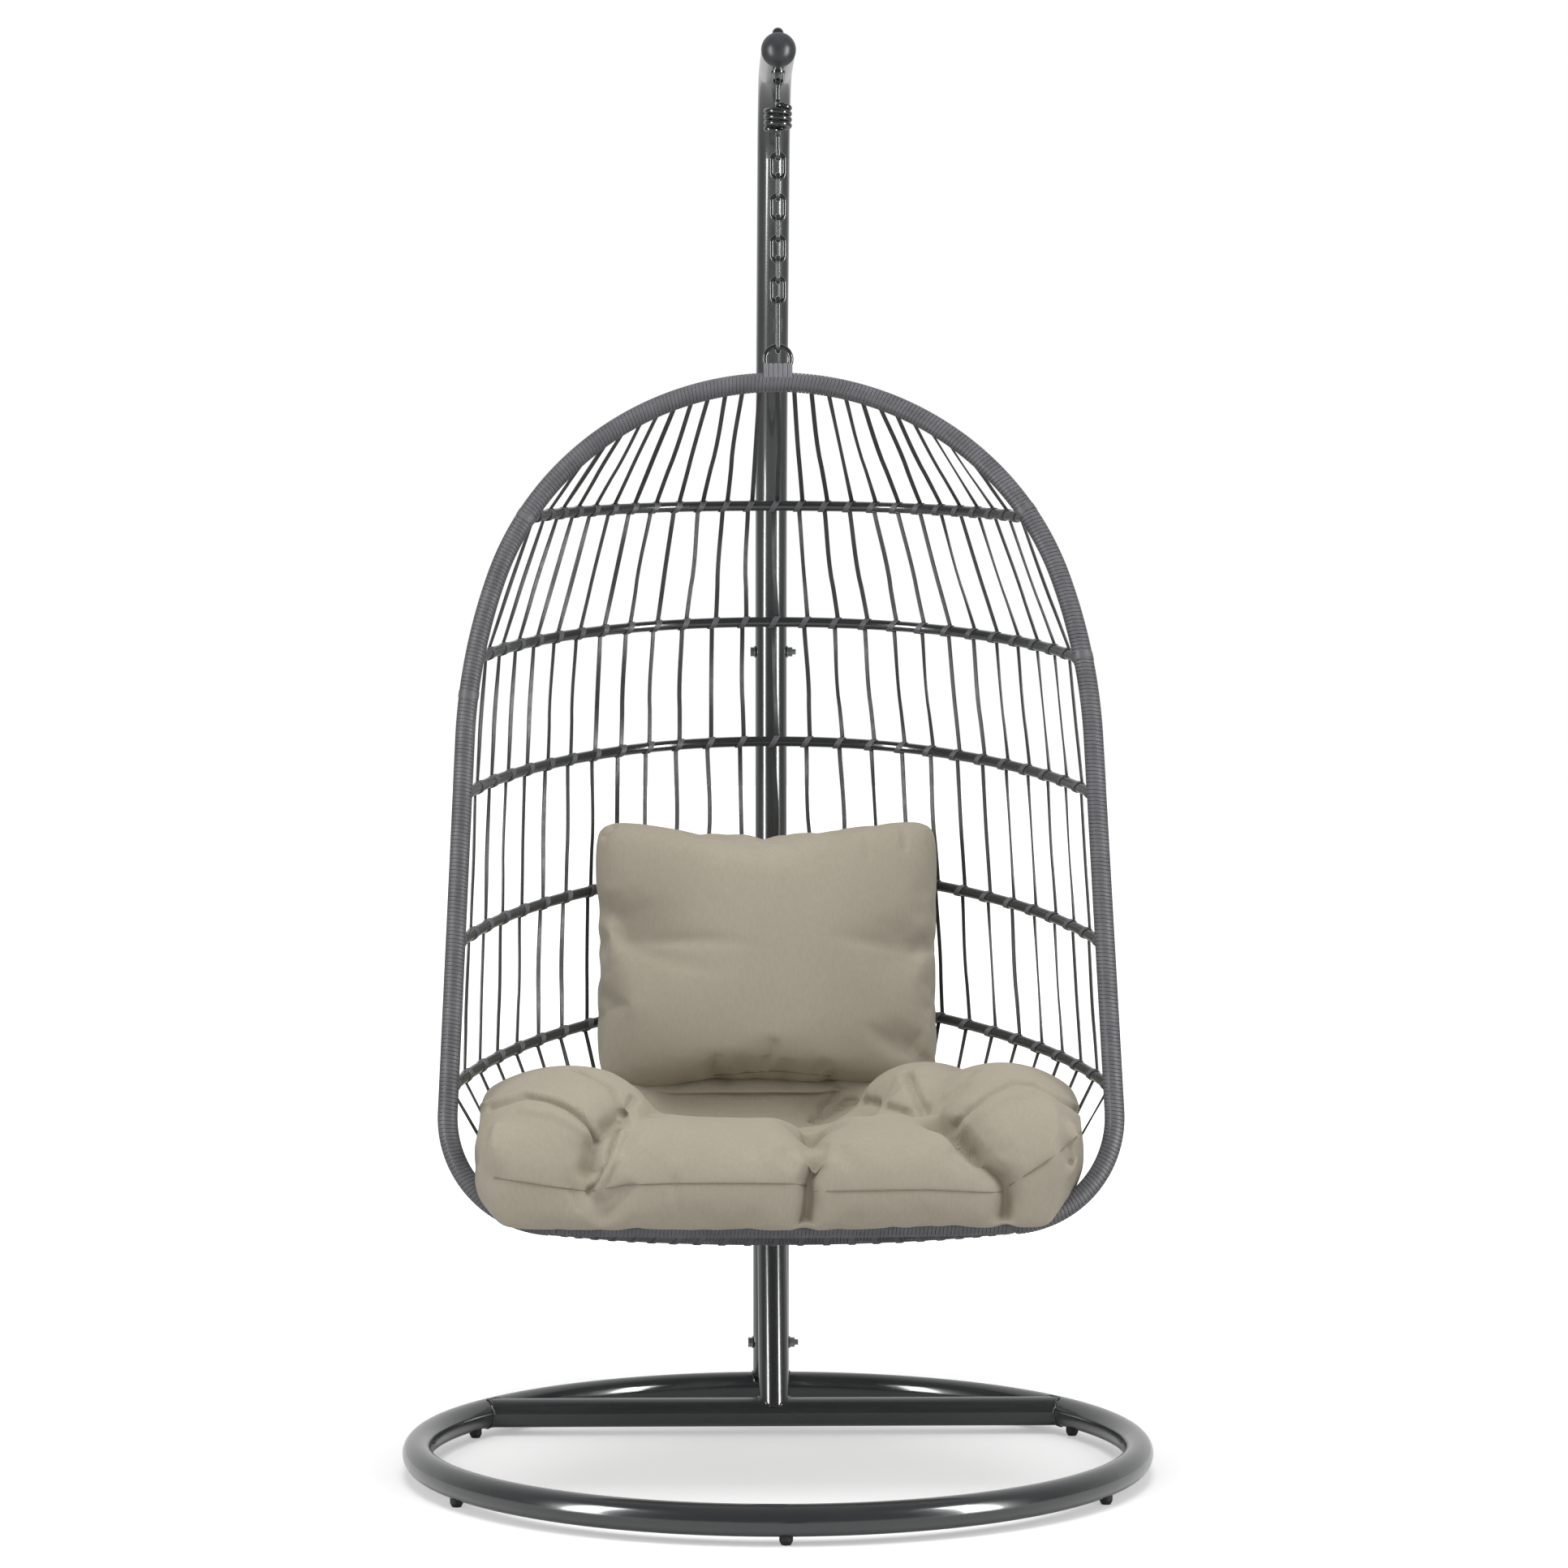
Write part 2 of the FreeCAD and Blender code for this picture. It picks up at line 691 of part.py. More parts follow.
# Hoops
def hoop_pieces(half_width, depth, end_point_y, end_point_z, back, end_angle):
    """A hoop's centre line: a wide turn at the back between two straighter sides."""
    middle = radians(hoop_middle_angle)
    end = radians(end_angle)
    a = math.sin(middle)
    b = math.sin(end) - math.sin(middle)
    c = 1 - math.cos(middle)
    d = math.cos(middle) - math.cos(end)
    size = a * d - b * c
    back_r = (half_width * d - b * depth) / size
    side_r = (a * depth - c * half_width) / size
    front = Vector(0, end_point_y, end_point_z)
    back_centre = front + back * (depth - back_r)
    shift = side_r - back_r
    left_centre = back_centre + X * (shift * math.sin(middle)) - back * (shift * math.cos(middle))
    right_centre = back_centre - X * (shift * math.sin(middle)) - back * (shift * math.cos(middle))
    return [
        Arc(left_centre, back, X, side_r, -end, -middle),
        Arc(back_centre, back, X, back_r, -middle, middle),
        Arc(right_centre, back, X, side_r, middle, end),
    ]


def hoop_path(i):
    drop = drop_below(hoop_drops[i])
    place = on_rim(0, drop)
    tilt = radians(hoop_tilts[i])
    back = Vector(0, math.cos(tilt), math.sin(tilt))
    half = outline.half_width(drop)
    return Path(hoop_pieces(half, hoop_depths[i], place.y, place.z, back, hoop_end_angle))


def seat_hoop_path():
    place = on_rim(0, outline.low_drop(seat_hoop_half_width))
    fall = radians(seat_hoop_fall)
    back = Vector(0, math.cos(fall), -math.sin(fall))
    pieces = hoop_pieces(seat_hoop_half_width, seat_hoop_depth, place.y, place.z, back, hoop_end_angle)
    return Path(pieces)


hoop_paths = [hoop_path(i) for i in range(len(hoop_drops))]
seat_hoop_line = seat_hoop_path()


def hoop(path, diameter):
    return biggest(path.tube(diameter, hoop_wall).cut(rim_core))


def rim_wrap():
    ends = [path.rod(hoop_d) for path in hoop_paths] + [seat_hoop_line.rod(seat_hoop_d)]
    return biggest(rim_skin.cut(rim_core).cut(group(ends)))


def seat_hoop_wrap():
    skin = seat_hoop_line.rod(seat_hoop_wrap_d).cut(seat_hoop_line.rod(seat_hoop_d))
    return biggest(skin.cut(rim_skin))


# Strands
def upper_rim_path():
    """The rim's top, from one end of the first hoop to the other."""
    drop = drop_below(hoop_drops[0])
    turn = math.acos(1 - drop / rim_top_r)
    return Path([Arc(on_rim(0, rim_top_r), down * -1, X, rim_top_r, -turn, turn)])


def lower_rim_path():
    """The rim's bottom, from one end of the seat hoop to the other."""
    reach = math.acos((seat_hoop_half_width - outline.corner[0]) / rim_corner_r)
    rest = math.pi / 2 - outline.rest
    left = Arc(on_rim(-outline.corner[0], outline.corner[1]), X * -1, down, rim_corner_r, reach, rest)
    right = Arc(on_rim(outline.corner[0], outline.corner[1]), X, down, rim_corner_r, rest, reach)
    bottom_centre = on_rim(0, outline.bottom - rim_bottom_r)
    bottom = Arc(bottom_centre, down, X, rim_bottom_r, -outline.rest, outline.rest)
    return Path([left, bottom, right])


def strand_row(upper, upper_rod, lower, lower_rod):
    """Flat strips between two curves, one at each equal share of their lengths."""
    strips = []
    for i in range(strand_count):
        share = (i + 0.5) / strand_count
        high = upper.at(share)
        low = lower.at(share)
        run = low - high
        way = Vector(run).normalize()
        across = upper.direction(share) + lower.direction(share)
        across = (across - way * across.dot(way)).normalize() * (strand_width / 2)
        out = way.cross(across).normalize() * (strand_t / 2)
        corners = [high - across - out, high + across - out, high + across + out, high - across + out]
        strips.append(Part.Face(Part.makePolygon(corners + corners[:1])).extrude(run))
    if rim_skin not in (upper_rod, lower_rod):
        for i in (0, -1):
            strips[i] = biggest(strips[i].cut(rim_skin))
    row = group(strips).cut(upper_rod).cut(lower_rod)
    least = strand_shortest * strand_width * strand_t
    return group([solid for solid in row.Solids if solid.Volume > least])


# Cushions
def four_arcs(corners, bulges):
    """A closed section through four corners, each side bowed out by its bulge."""
    edges = []
    middle = (corners[0] + corners[1] + corners[2] + corners[3]) * 0.25
    for i in range(4):
        first = corners[i]
        last = corners[(i + 1) % 4]
        side = last - first
        out = side.cross(X).normalize()
        half = (first + last) * 0.5
        if out.dot(half - middle) < 0:
            out = out * -1
        edges.append(Part.Arc(first, half + out * bulges[i], last).toShape())
    return Part.Wire(edges)


def basket_wall_y(x, z, upper, lower):
    """How far back the strands between two curves are at x and z."""
    low, high = 0.5, 1.0
    for _ in range(30):
        share = (low + high) / 2
        top = upper.at(share)
        foot = lower.at(share)
        part = (top.z - z) / (top.z - foot.z)
        place = top + (foot - top) * part
        if abs(place.x) < abs(x):
            low = share
        else:
            high = share
    return place.y


def seat_floor_z(x):
    """The lowest a cushion can lie at x, on the inside of the rim."""
    inner_r = rim_corner_r - rim_wrap_d / 2 - cushion_gap
    past = abs(x) - outline.corner[0]
    if past <= 0:
        return on_rim(0, outline.low_drop(abs(x))).z + rim_wrap_d / 2 + cushion_gap
    return on_rim(0, outline.corner[1] + math.sqrt(inner_r ** 2 - past ** 2)).z


def side_strand_z(x):
    """How high the outermost strand over the seat hoop is at x."""
    top = hoop_paths[-1].at(1 - 0.5 / strand_count)
    foot = seat_hoop_line.at(1 - 0.5 / strand_count)
    return foot.z + (top.z - foot.z) * (abs(x) - foot.x) / (top.x - foot.x)


rim_low = on_rim(0, outline.bottom)
seat_base_z = seat_floor_z(0)
seat_front_y = rim_low.y - seat_overhang


def humps(x, places, width):
    """A smooth hump of height 1 at each place along x."""
    return sum(math.exp(-((x - place) / width) ** 2) for place in places)


def seat_section(x):
    """The seat cushion cut across at x, drawn in at its creases and rounded off at its back corners."""
    dip = humps(x, seat_creases, seat_crease_width)
    past = max(0, abs(x) - seat_end_x + seat_corner) / seat_corner
    drawn_in = past ** 3
    floor = max(seat_floor_z(x), seat_base_z) + seat_end_lift * past ** 2
    front = seat_front_y + seat_crease_inset * dip
    front_top = seat_base_z + seat_front_top_h - seat_crease_drop * dip
    back_top = seat_base_z + seat_back_top_h
    wall_x = abs(x) + seat_side_gap
    back_floor = min(side_strand_z(wall_x) + seat_side_gap, back_top - seat_crown)
    back_floor = max(floor, back_floor - (back_floor - floor) * drawn_in)
    backs = []
    for z, gap in ((back_top, 2 * cushion_gap), (back_floor, 4 * cushion_gap)):
        wall = basket_wall_y(wall_x, z, hoop_paths[-1], seat_hoop_line) - strand_t - gap
        backs.append(wall + (seat_front_y + seat_end_depth - wall) * drawn_in)
    corners = [
        Vector(x, front, floor),
        Vector(x, front, front_top),
        Vector(x, backs[0], back_top),
        Vector(x, backs[1], back_floor),
    ]
    fullness = 1 - drawn_in / 2
    crown = seat_crown + seat_lobe_rise * humps(x, seat_lobes, seat_lobe_width)
    front_bulge = seat_front_bulge * (1 - dip / 2)
    return four_arcs(corners, [front_bulge * fullness, crown * fullness, cushion_gap / 2, cushion_gap / 3])


def seat_cushion():
    """A loft through even cross-sections, with a round dent at each sewn tuft."""
    step = 2 * seat_end_x / seat_rib_count
    sections = [seat_section(-seat_end_x + i * step) for i in range(seat_rib_count + 1)]
    body = Part.makeLoft(sections, True, False)
    for x, y in seat_tufts:
        plumb = Part.makeLine(Vector(x, y, seat_base_z), Vector(x, y, seat_base_z + post_joint_z))
        top = plumb.common(body).BoundBox.ZMax
        body = body.cut(Part.makeSphere(tuft_r, Vector(x, y, top + tuft_r - tuft_depth)))
    return body


def pillow_section(i, side):
    x = side * pillow_stations[i]
    tilt = math.tan(radians(pillow_lean))
    middle_z = seat_base_z + pillow_low_h + pillow_height / 2
    wall = basket_wall_y(0, middle_z, hoop_paths[-2], hoop_paths[-1])
    middle_y = wall - pillow_back_gap - pillow_thickness[0] / 2 - pillow_forward[i]
    half_height = pillow_height / 2 - pillow_drawn_in[i]
    edge = pillow_edge_t / 2
    bulge = pillow_thickness[i] / 2 - edge
    corners = []
    for up, way in ((-1, -1), (1, -1), (1, 1), (-1, 1)):
        rise = up * half_height
        corners.append(Vector(x, middle_y + rise * tilt + way * edge, middle_z + rise))
    return four_arcs(corners, [bulge, cushion_gap, bulge, cushion_gap])


def back_pillow():
    last = len(pillow_stations) - 1
    sections = [pillow_section(i, -1) for i in range(last, 0, -1)]
    sections += [pillow_section(i, 1) for i in range(last + 1)]
    return Part.makeLoft(sections, True, False)


save("base_ring", base_ring())
save("floor_glides", floor_glides())
save("cross_bar", cross_bar())
save("rear_socket", rear_socket())
save("front_brace", front_brace())
save("lower_post", lower_post())
save("post_sleeve", post_sleeve())
save("upper_post", upper_post())
save("ball_cap", ball_cap())
save("socket_bolt", cross_bolt(socket_bolt_z, socket_d))
save("socket_nut", cross_nut(socket_bolt_z, socket_d))
save("joint_bolt", cross_bolt(joint_bolt_z, post_d))
save("joint_nut", cross_nut(joint_bolt_z, post_d))
save("washers", bolt_washers())
save("dome_nut", dome_nut())
save("eye_bolt", eye_bolt())

spring_line = spring_path()
report_spring(spring_line)
save("spring", spring_line.rod(spring_wire_d))
for number in range(link_count):
    save(f"chain_link_{number + 1}", chain_link(number))
save("quick_link", quick_link())
save("quick_link_sleeve", quick_sleeve())

save("hanger_saddle", hanger_saddle())
save("hanger_ring", hanger_ring())
save("rim_tube", rim_tube())
save("rim_wrap", rim_wrap())
for number, path in enumerate(hoop_paths):
    save(f"hoop_{number + 1}", hoop(path, hoop_d))
save("seat_hoop", hoop(seat_hoop_line, seat_hoop_d))
save("seat_hoop_wrap", seat_hoop_wrap())

curves = [(upper_rim_path(), rim_skin)]
curves += [(path, path.rod(hoop_d)) for path in hoop_paths]
curves.append((seat_hoop_line, seat_hoop_line.rod(seat_hoop_wrap_d)))
curves.append((lower_rim_path(), rim_skin))
for number, (upper, lower) in enumerate(zip(curves, curves[1:])):
    save(f"strands_{number + 1}", strand_row(*upper, *lower))

save("seat_cushion", seat_cushion())
save("back_pillow", back_pillow())
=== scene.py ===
import math
import random

import bmesh
import bpy
import numpy as np
from mathutils import Matrix, Vector


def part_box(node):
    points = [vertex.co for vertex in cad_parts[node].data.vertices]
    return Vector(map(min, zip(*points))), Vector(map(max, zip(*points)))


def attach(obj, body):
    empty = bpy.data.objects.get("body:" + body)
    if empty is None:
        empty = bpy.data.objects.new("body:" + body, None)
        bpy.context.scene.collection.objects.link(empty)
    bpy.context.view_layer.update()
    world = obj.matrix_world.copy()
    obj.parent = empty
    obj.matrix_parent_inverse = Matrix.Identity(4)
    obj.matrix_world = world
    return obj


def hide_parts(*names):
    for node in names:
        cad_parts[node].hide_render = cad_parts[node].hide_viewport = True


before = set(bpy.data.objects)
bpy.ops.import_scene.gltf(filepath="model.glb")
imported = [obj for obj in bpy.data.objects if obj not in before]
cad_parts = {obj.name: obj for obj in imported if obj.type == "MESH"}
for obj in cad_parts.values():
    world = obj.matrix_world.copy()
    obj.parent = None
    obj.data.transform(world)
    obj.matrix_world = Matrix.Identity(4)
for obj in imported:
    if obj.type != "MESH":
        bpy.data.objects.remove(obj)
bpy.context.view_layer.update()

X = Vector((1, 0, 0))
Z = Vector((0, 0, 1))

# Rim of the basket: one flat loop of arcs, leaning back at the top
rim_top_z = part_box("rim_wrap")[1][2] - 0.013
rim_lean = math.radians(13.5)
rim_top_r = 0.3905
rim_top_turn = math.radians(71.5)
rim_shoulder_r = 0.769
rim_side_turn = math.radians(88)
rim_side_length = 0.490
rim_corner_r = 0.1395
rim_bottom_r = 12.0
rim_wrap_r = 0.013

# Hoops between the two sides of the rim
hoop_r = 0.007
hoop_tilts = [math.radians(lean) for lean in (5.5, 8.8, 9.3, 10.1, 10.2)]
hoop_drops = [0.182, 0.369, 0.546, 0.737, 0.919]
hoop_depths = [0.277, 0.348, 0.398, 0.427, 0.446]
hoop_middle = math.radians(40)
hoop_end = math.radians(78)
seat_hoop_r = 0.010
seat_hoop_half_width = 0.320
seat_hoop_depth = 0.310
seat_hoop_fall = math.radians(11.5)

# Brace of the stand
brace_lean = math.radians(26.8)

# Strip that is wound round the tubes and strung between the hoops
wound_pitch = 0.0050
wound_dip = 0.00028
saddle_turns = 6
lap_width = 0.009
lap_t = 0.0005
bead_r = 0.0022
strand_count = 27
strand_top_turn = math.radians(43)
strand_width = 0.0060
strand_t = 0.0022
strand_behind = 0.0045
tie_width = 0.0084
tie_t = 0.0013
tie_slant = 0.0042

# Studio
floor_glow = 0.35
room_light = 0.45
room_front = 0.15
room_back = 0.6

# Camera: fitted to the base ring and the height of the chair
camera_distance = 5.626
camera_height = 1.0856
camera_azimuth = math.radians(-1.2)
camera_pitch = math.radians(1.72)
camera_lens = 97.14
image_px = 1932
ring_centre_px = 958.5
eye = Vector((math.sin(camera_azimuth), -math.cos(camera_azimuth), 0)) * camera_distance + Z * camera_height


# Blender helpers
def deselect():
    if bpy.context.object and bpy.context.object.mode != "OBJECT":
        bpy.ops.object.mode_set(mode="OBJECT")
    bpy.ops.object.select_all(action="DESELECT")


def choose(piece):
    deselect()
    piece.select_set(True)
    bpy.context.view_layer.objects.active = piece


def named(name):
    piece = bpy.context.object
    piece.name = name
    piece.data.name = name
    return piece


def settle(piece):
    """Puts the piece's place, turn and size in its mesh."""
    choose(piece)
    bpy.ops.object.transform_apply(location=True, rotation=True, scale=True)
    return piece


def modifier(piece, kind, **settings):
    """Adds a modifier with its settings and applies it."""
    choose(piece)
    added = piece.modifiers.new(kind.title(), kind)
    for name, value in settings.items():
        setattr(added, name, value)
    bpy.ops.object.modifier_apply(modifier=added.name)


def smooth(piece, degrees=35):
    choose(piece)
    bpy.ops.object.shade_smooth_by_angle(angle=math.radians(degrees))


def select_in_edit(piece, kind, wanted):
    """Enters edit mode with only the vertices, edges or faces that `wanted` accepts selected."""
    choose(piece)
    bpy.ops.object.mode_set(mode="EDIT")
    bpy.ops.mesh.select_mode(type=kind)
    bpy.ops.mesh.select_all(action="DESELECT")
    mesh = bmesh.from_edit_mesh(piece.data)
    for item in {"VERT": mesh.verts, "EDGE": mesh.edges, "FACE": mesh.faces}[kind]:
        if wanted(item):
            item.select_set(True)
    mesh.select_flush_mode()
    bmesh.update_edit_mesh(piece.data)


def object_mode():
    bpy.ops.object.mode_set(mode="OBJECT")


def copy_to(piece, matrix, name):
    copy = piece.copy()
    copy.data = piece.data.copy()
    copy.name = name
    copy.data.transform(matrix)
    bpy.context.collection.objects.link(copy)
    return copy


def joined(pieces, name):
    deselect()
    for piece in pieces:
        piece.select_set(True)
    bpy.context.view_layer.objects.active = pieces[0]
    bpy.ops.object.join()
    return named(name)


def drop(*pieces):
    for piece in pieces:
        bpy.data.objects.remove(piece)


def on_chair(piece, body, slot, material, *nodes):
    """The finished piece gets its material and its body, and the CAD nodes that it stands for are hidden."""
    piece.data.materials.clear()
    piece.data.materials.append(material)
    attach(piece, body)
    if nodes:
        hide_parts(*nodes)


def axes_matrix(x, y, z, place):
    matrix = Matrix((x, y, z)).transposed().to_4x4()
    matrix.translation = place
    return matrix


# Centre lines of the basket's tubes
def arc(centre, out, along, radius, start, end):
    count = max(2, round(radius * abs(end - start) / 0.006))
    angles = [start + (end - start) * i / count for i in range(count + 1)]
    return [centre + (out * math.cos(a) + along * math.sin(a)) * radius for a in angles]


class Track:
    """A line of points that can be asked for its place and direction at a share of its length."""

    def __init__(self, points):
        self.points = [points[0]]
        for point in points[1:]:
            if (point - self.points[-1]).length > 1e-6:
                self.points.append(point)
        self.marks = [0.0]
        for first, last in zip(self.points, self.points[1:]):
            self.marks.append(self.marks[-1] + (last - first).length)
        self.length = self.marks[-1]

    def at(self, share):
        reach = min(max(share, 0.0), 1.0) * self.length
        low = 0
        while low < len(self.marks) - 2 and self.marks[low + 1] < reach:
            low += 1
        span = self.marks[low + 1] - self.marks[low]
        return self.points[low].lerp(self.points[low + 1], (reach - self.marks[low]) / span)

    def direction(self, share):
        step = 0.003
        return (self.at(share + step) - self.at(share - step)).normalized()

    def curve(self, name, closed):
        """A curve object through the points, for the Curve modifier."""
        data = bpy.data.curves.new(name, "CURVE")
        data.dimensions = "3D"
        data.twist_mode = "MINIMUM"
        spline = data.splines.new("POLY")
        points = self.points[:-1] if closed else self.points
        spline.points.add(len(points) - 1)
        for place, point in zip(points, spline.points):
            point.co = (*place, 1)
        spline.use_cyclic_u = closed
        made = bpy.data.objects.new(name, data)
        bpy.context.collection.objects.link(made)
        return made


rim_down = Vector((0, -math.sin(rim_lean), -math.cos(rim_lean)))


def on_rim(x, fall):
    return Vector((x, 0, rim_top_z)) + rim_down * fall


lead = rim_shoulder_r - rim_top_r
shoulder_centre = (-lead * math.sin(rim_top_turn), rim_top_r + lead * math.cos(rim_top_turn))
shoulder_end = (shoulder_centre[0] + rim_shoulder_r * math.sin(rim_side_turn),
                shoulder_centre[1] - rim_shoulder_r * math.cos(rim_side_turn))
side_end = (shoulder_end[0] + rim_side_length * math.cos(rim_side_turn),
            shoulder_end[1] + rim_side_length * math.sin(rim_side_turn))
corner_centre = (side_end[0] - rim_corner_r * math.sin(rim_side_turn),
                 side_end[1] + rim_corner_r * math.cos(rim_side_turn))
corner_rest = math.asin(corner_centre[0] / (rim_bottom_r - rim_corner_r))
rim_bottom = corner_centre[1] - (rim_bottom_r - rim_corner_r) * math.cos(corner_rest) + rim_bottom_r


def half_rim(sign):
    """One side of the rim, from the top's middle to the bottom's middle."""
    up = rim_down * -1
    out = X * sign
    points = arc(on_rim(0, rim_top_r), up, out, rim_top_r, 0, rim_top_turn)
    points += arc(on_rim(sign * shoulder_centre[0], shoulder_centre[1]), up, out, rim_shoulder_r,
                  rim_top_turn, rim_side_turn)
    points += arc(on_rim(sign * corner_centre[0], corner_centre[1]), up, out, rim_corner_r,
                  rim_side_turn, math.pi - corner_rest)
    points += arc(on_rim(0, rim_bottom - rim_bottom_r), rim_down, out, rim_bottom_r, corner_rest, 0)
    return points


def half_width(fall):
    side = Track(half_rim(1))
    low, high = 0.0, 0.75
    for _ in range(30):
        share = (low + high) / 2
        if (side.at(share).z - rim_top_z) / rim_down.z < fall:
            low = share
        else:
            high = share
    return side.at(low).x


def hoop_track(half, depth, place, back):
    """A hoop's centre line: a wide turn at the back between two straighter sides."""
    a = math.sin(hoop_middle)
    b = math.sin(hoop_end) - a
    c = 1 - math.cos(hoop_middle)
    d = math.cos(hoop_middle) - math.cos(hoop_end)
    size = a * d - b * c
    back_r = (half * d - b * depth) / size
    side_r = (a * depth - c * half) / size
    back_centre = place + back * (depth - back_r)
    shift = (X * math.sin(hoop_middle) - back * math.cos(hoop_middle)) * (side_r - back_r)
    mirrored = Vector((-shift.x, shift.y, shift.z))
    points = arc(back_centre + shift, back, X, side_r, -hoop_end, -hoop_middle)
    points += arc(back_centre, back, X, back_r, -hoop_middle, hoop_middle)
    points += arc(back_centre + mirrored, back, X, side_r, hoop_middle, hoop_end)
    return Track(points)


rim_track = Track(half_rim(1) + half_rim(-1)[::-1])
hoop_tracks = []
for hoop_drop, hoop_depth, hoop_tilt in zip(hoop_drops, hoop_depths, hoop_tilts):
    fall = hoop_drop / math.cos(rim_lean)
    hoop_back = Vector((0, math.cos(hoop_tilt), math.sin(hoop_tilt)))
    hoop_tracks.append(hoop_track(half_width(fall), hoop_depth, on_rim(0, fall), hoop_back))

seat_rest = math.acos((seat_hoop_half_width - corner_centre[0]) / rim_corner_r)
seat_fall = corner_centre[1] + rim_corner_r * math.sin(seat_rest)
seat_back = Vector((0, math.cos(seat_hoop_fall), -math.sin(seat_hoop_fall)))
seat_hoop_track = hoop_track(seat_hoop_half_width, seat_hoop_depth, on_rim(0, seat_fall), seat_back)

top_track = Track(arc(on_rim(0, rim_top_r), rim_down * -1, X, rim_top_r,
                      -strand_top_turn, strand_top_turn))
low_left = arc(on_rim(-corner_centre[0], corner_centre[1]), X * -1, rim_down, rim_corner_r,
               seat_rest, math.pi / 2 - corner_rest)
low_right = [Vector((-point.x, point.y, point.z)) for point in reversed(low_left)]
low_middle = arc(on_rim(0, rim_bottom - rim_bottom_r), rim_down, X, rim_bottom_r, -corner_rest, corner_rest)
low_track = Track(low_left + low_middle + low_right)


# Materials
def linear(hex_colour):
    """An sRGB hex colour as linear RGBA."""
    channels = [int(hex_colour[i:i + 2], 16) / 255 for i in (1, 3, 5)]
    values = [c / 12.92 if c <= 0.04045 else ((c + 0.055) / 1.055) ** 2.4 for c in channels]
    return (*values, 1.0)


def node(tree, kind, inputs=None, **settings):
    """Adds a node, with values or links for its inputs."""
    made = tree.nodes.new(kind)
    for name, value in settings.items():
        setattr(made, name, value)
    for name, value in (inputs or {}).items():
        socket = made.inputs[name]
        if isinstance(value, bpy.types.NodeSocket):
            tree.links.new(value, socket)
        else:
            socket.default_value = value
    return made


def new_material(name):
    """An empty material with object coordinates, its shader and its output."""
    material = bpy.data.materials.new(name)
    material.use_nodes = True
    tree = material.node_tree
    tree.nodes.clear()
    place = node(tree, "ShaderNodeTexCoord").outputs["Object"]
    shader = node(tree, "ShaderNodeBsdfPrincipled")
    node(tree, "ShaderNodeOutputMaterial", {"Surface": shader.outputs["BSDF"]})
    return material, tree, place, shader


def lumps(size_mm):
    """The noise scale at which the lumps are about size_mm across."""
    return 500 / size_mm


def surface(name, low, high, cloud_mm, roughness, haze_mm, grain_mm, grain_depth_mm, detail=2.0):
    """A finish whose colour wanders between two hex colours over cloud_mm. Its roughness wanders between
    two values over haze_mm, and its grain stands up by grain_depth_mm."""
    material, tree, place, shader = new_material(name)
    cloud = node(tree, "ShaderNodeTexNoise", {"Vector": place, "Scale": lumps(cloud_mm), "Detail": 3.0})
    tone = node(tree, "ShaderNodeMapRange", {"Value": cloud.outputs["Fac"], "From Min": 0.3, "From Max": 0.7})
    mix = node(tree, "ShaderNodeMix", {0: tone.outputs["Result"], 6: linear(low), 7: linear(high)},
               data_type="RGBA")
    haze = node(tree, "ShaderNodeTexNoise", {"Vector": place, "Scale": lumps(haze_mm), "Detail": 3.0})
    rough = node(tree, "ShaderNodeMapRange", {"Value": haze.outputs["Fac"], "From Min": 0.3, "From Max": 0.7,
                                              "To Min": roughness[0], "To Max": roughness[1]})
    grain = node(tree, "ShaderNodeTexNoise", {"Vector": place, "Scale": lumps(grain_mm), "Detail": detail})
    bump = node(tree, "ShaderNodeBump", {"Height": grain.outputs["Fac"], "Distance": grain_depth_mm / 1000})
    tree.links.new(mix.outputs[2], shader.inputs["Base Color"])
    tree.links.new(rough.outputs["Result"], shader.inputs["Roughness"])
    tree.links.new(bump.outputs["Normal"], shader.inputs["Normal"])
    return material, shader


def powder_coat():
    """Gloss powder coat on mild steel: dark grey, a faint orange peel and a clear, wet-looking sheen."""
    material, shader = surface("Gloss powder coat on steel tube", "#282b2c", "#2e3132", 90, (0.20, 0.27), 35,
                               2.2, 0.03)
    shader.inputs["Coat Weight"].default_value = 1.0
    shader.inputs["Coat Roughness"].default_value = 0.10
    return material


def hoop_coat():
    """The same coat on thin tube, a little darker and glossier."""
    material, shader = surface("Gloss powder coat on thin tube", "#222425", "#292c2d", 60, (0.17, 0.23), 30,
                               2.0, 0.02)
    shader.inputs["Coat Weight"].default_value = 1.0
    shader.inputs["Coat Roughness"].default_value = 0.08
    return material


def dipped_steel():
    """Black dip coat on chain and spring: thick, glossy, pooled a little unevenly."""
    material, shader = surface("Black dip coat on forged steel", "#1b1d1e", "#262829", 14, (0.12, 0.24), 8,
                               5, 0.12)
    shader.inputs["Coat Weight"].default_value = 1.0
    shader.inputs["Coat Roughness"].default_value = 0.05
    return material


def zinc_plate():
    """Bright zinc on bolts and nuts: pale metal with faint grey clouds."""
    material, shader = surface("Bright zinc plate", "#8d9093", "#b6b9bb", 5, (0.28, 0.36), 4, 1.2, 0.03)
    shader.inputs["Metallic"].default_value = 1.0
    return material


def moulded_cap():
    """Moulded ABS ball: dark, smooth, with a broad soft highlight."""
    return surface("Moulded ABS, satin", "#2d3032", "#34373a", 20, (0.34, 0.38), 12, 1.0, 0.004)[0]


def rubber():
    """Moulded rubber glides: nearly black and dull."""
    return surface("Moulded rubber", "#191919", "#222222", 4, (0.70, 0.80), 5, 0.8, 0.05, 3.0)[0]


def wound_strip(name, low, high, roughness):
    """Extruded polyethylene strip: dull grey with a faint fine grain and paler scuffs."""
    return surface(name, low, high, 18, (roughness - 0.06, roughness + 0.08), 6, 1.1, 0.10, 4.0)[0]


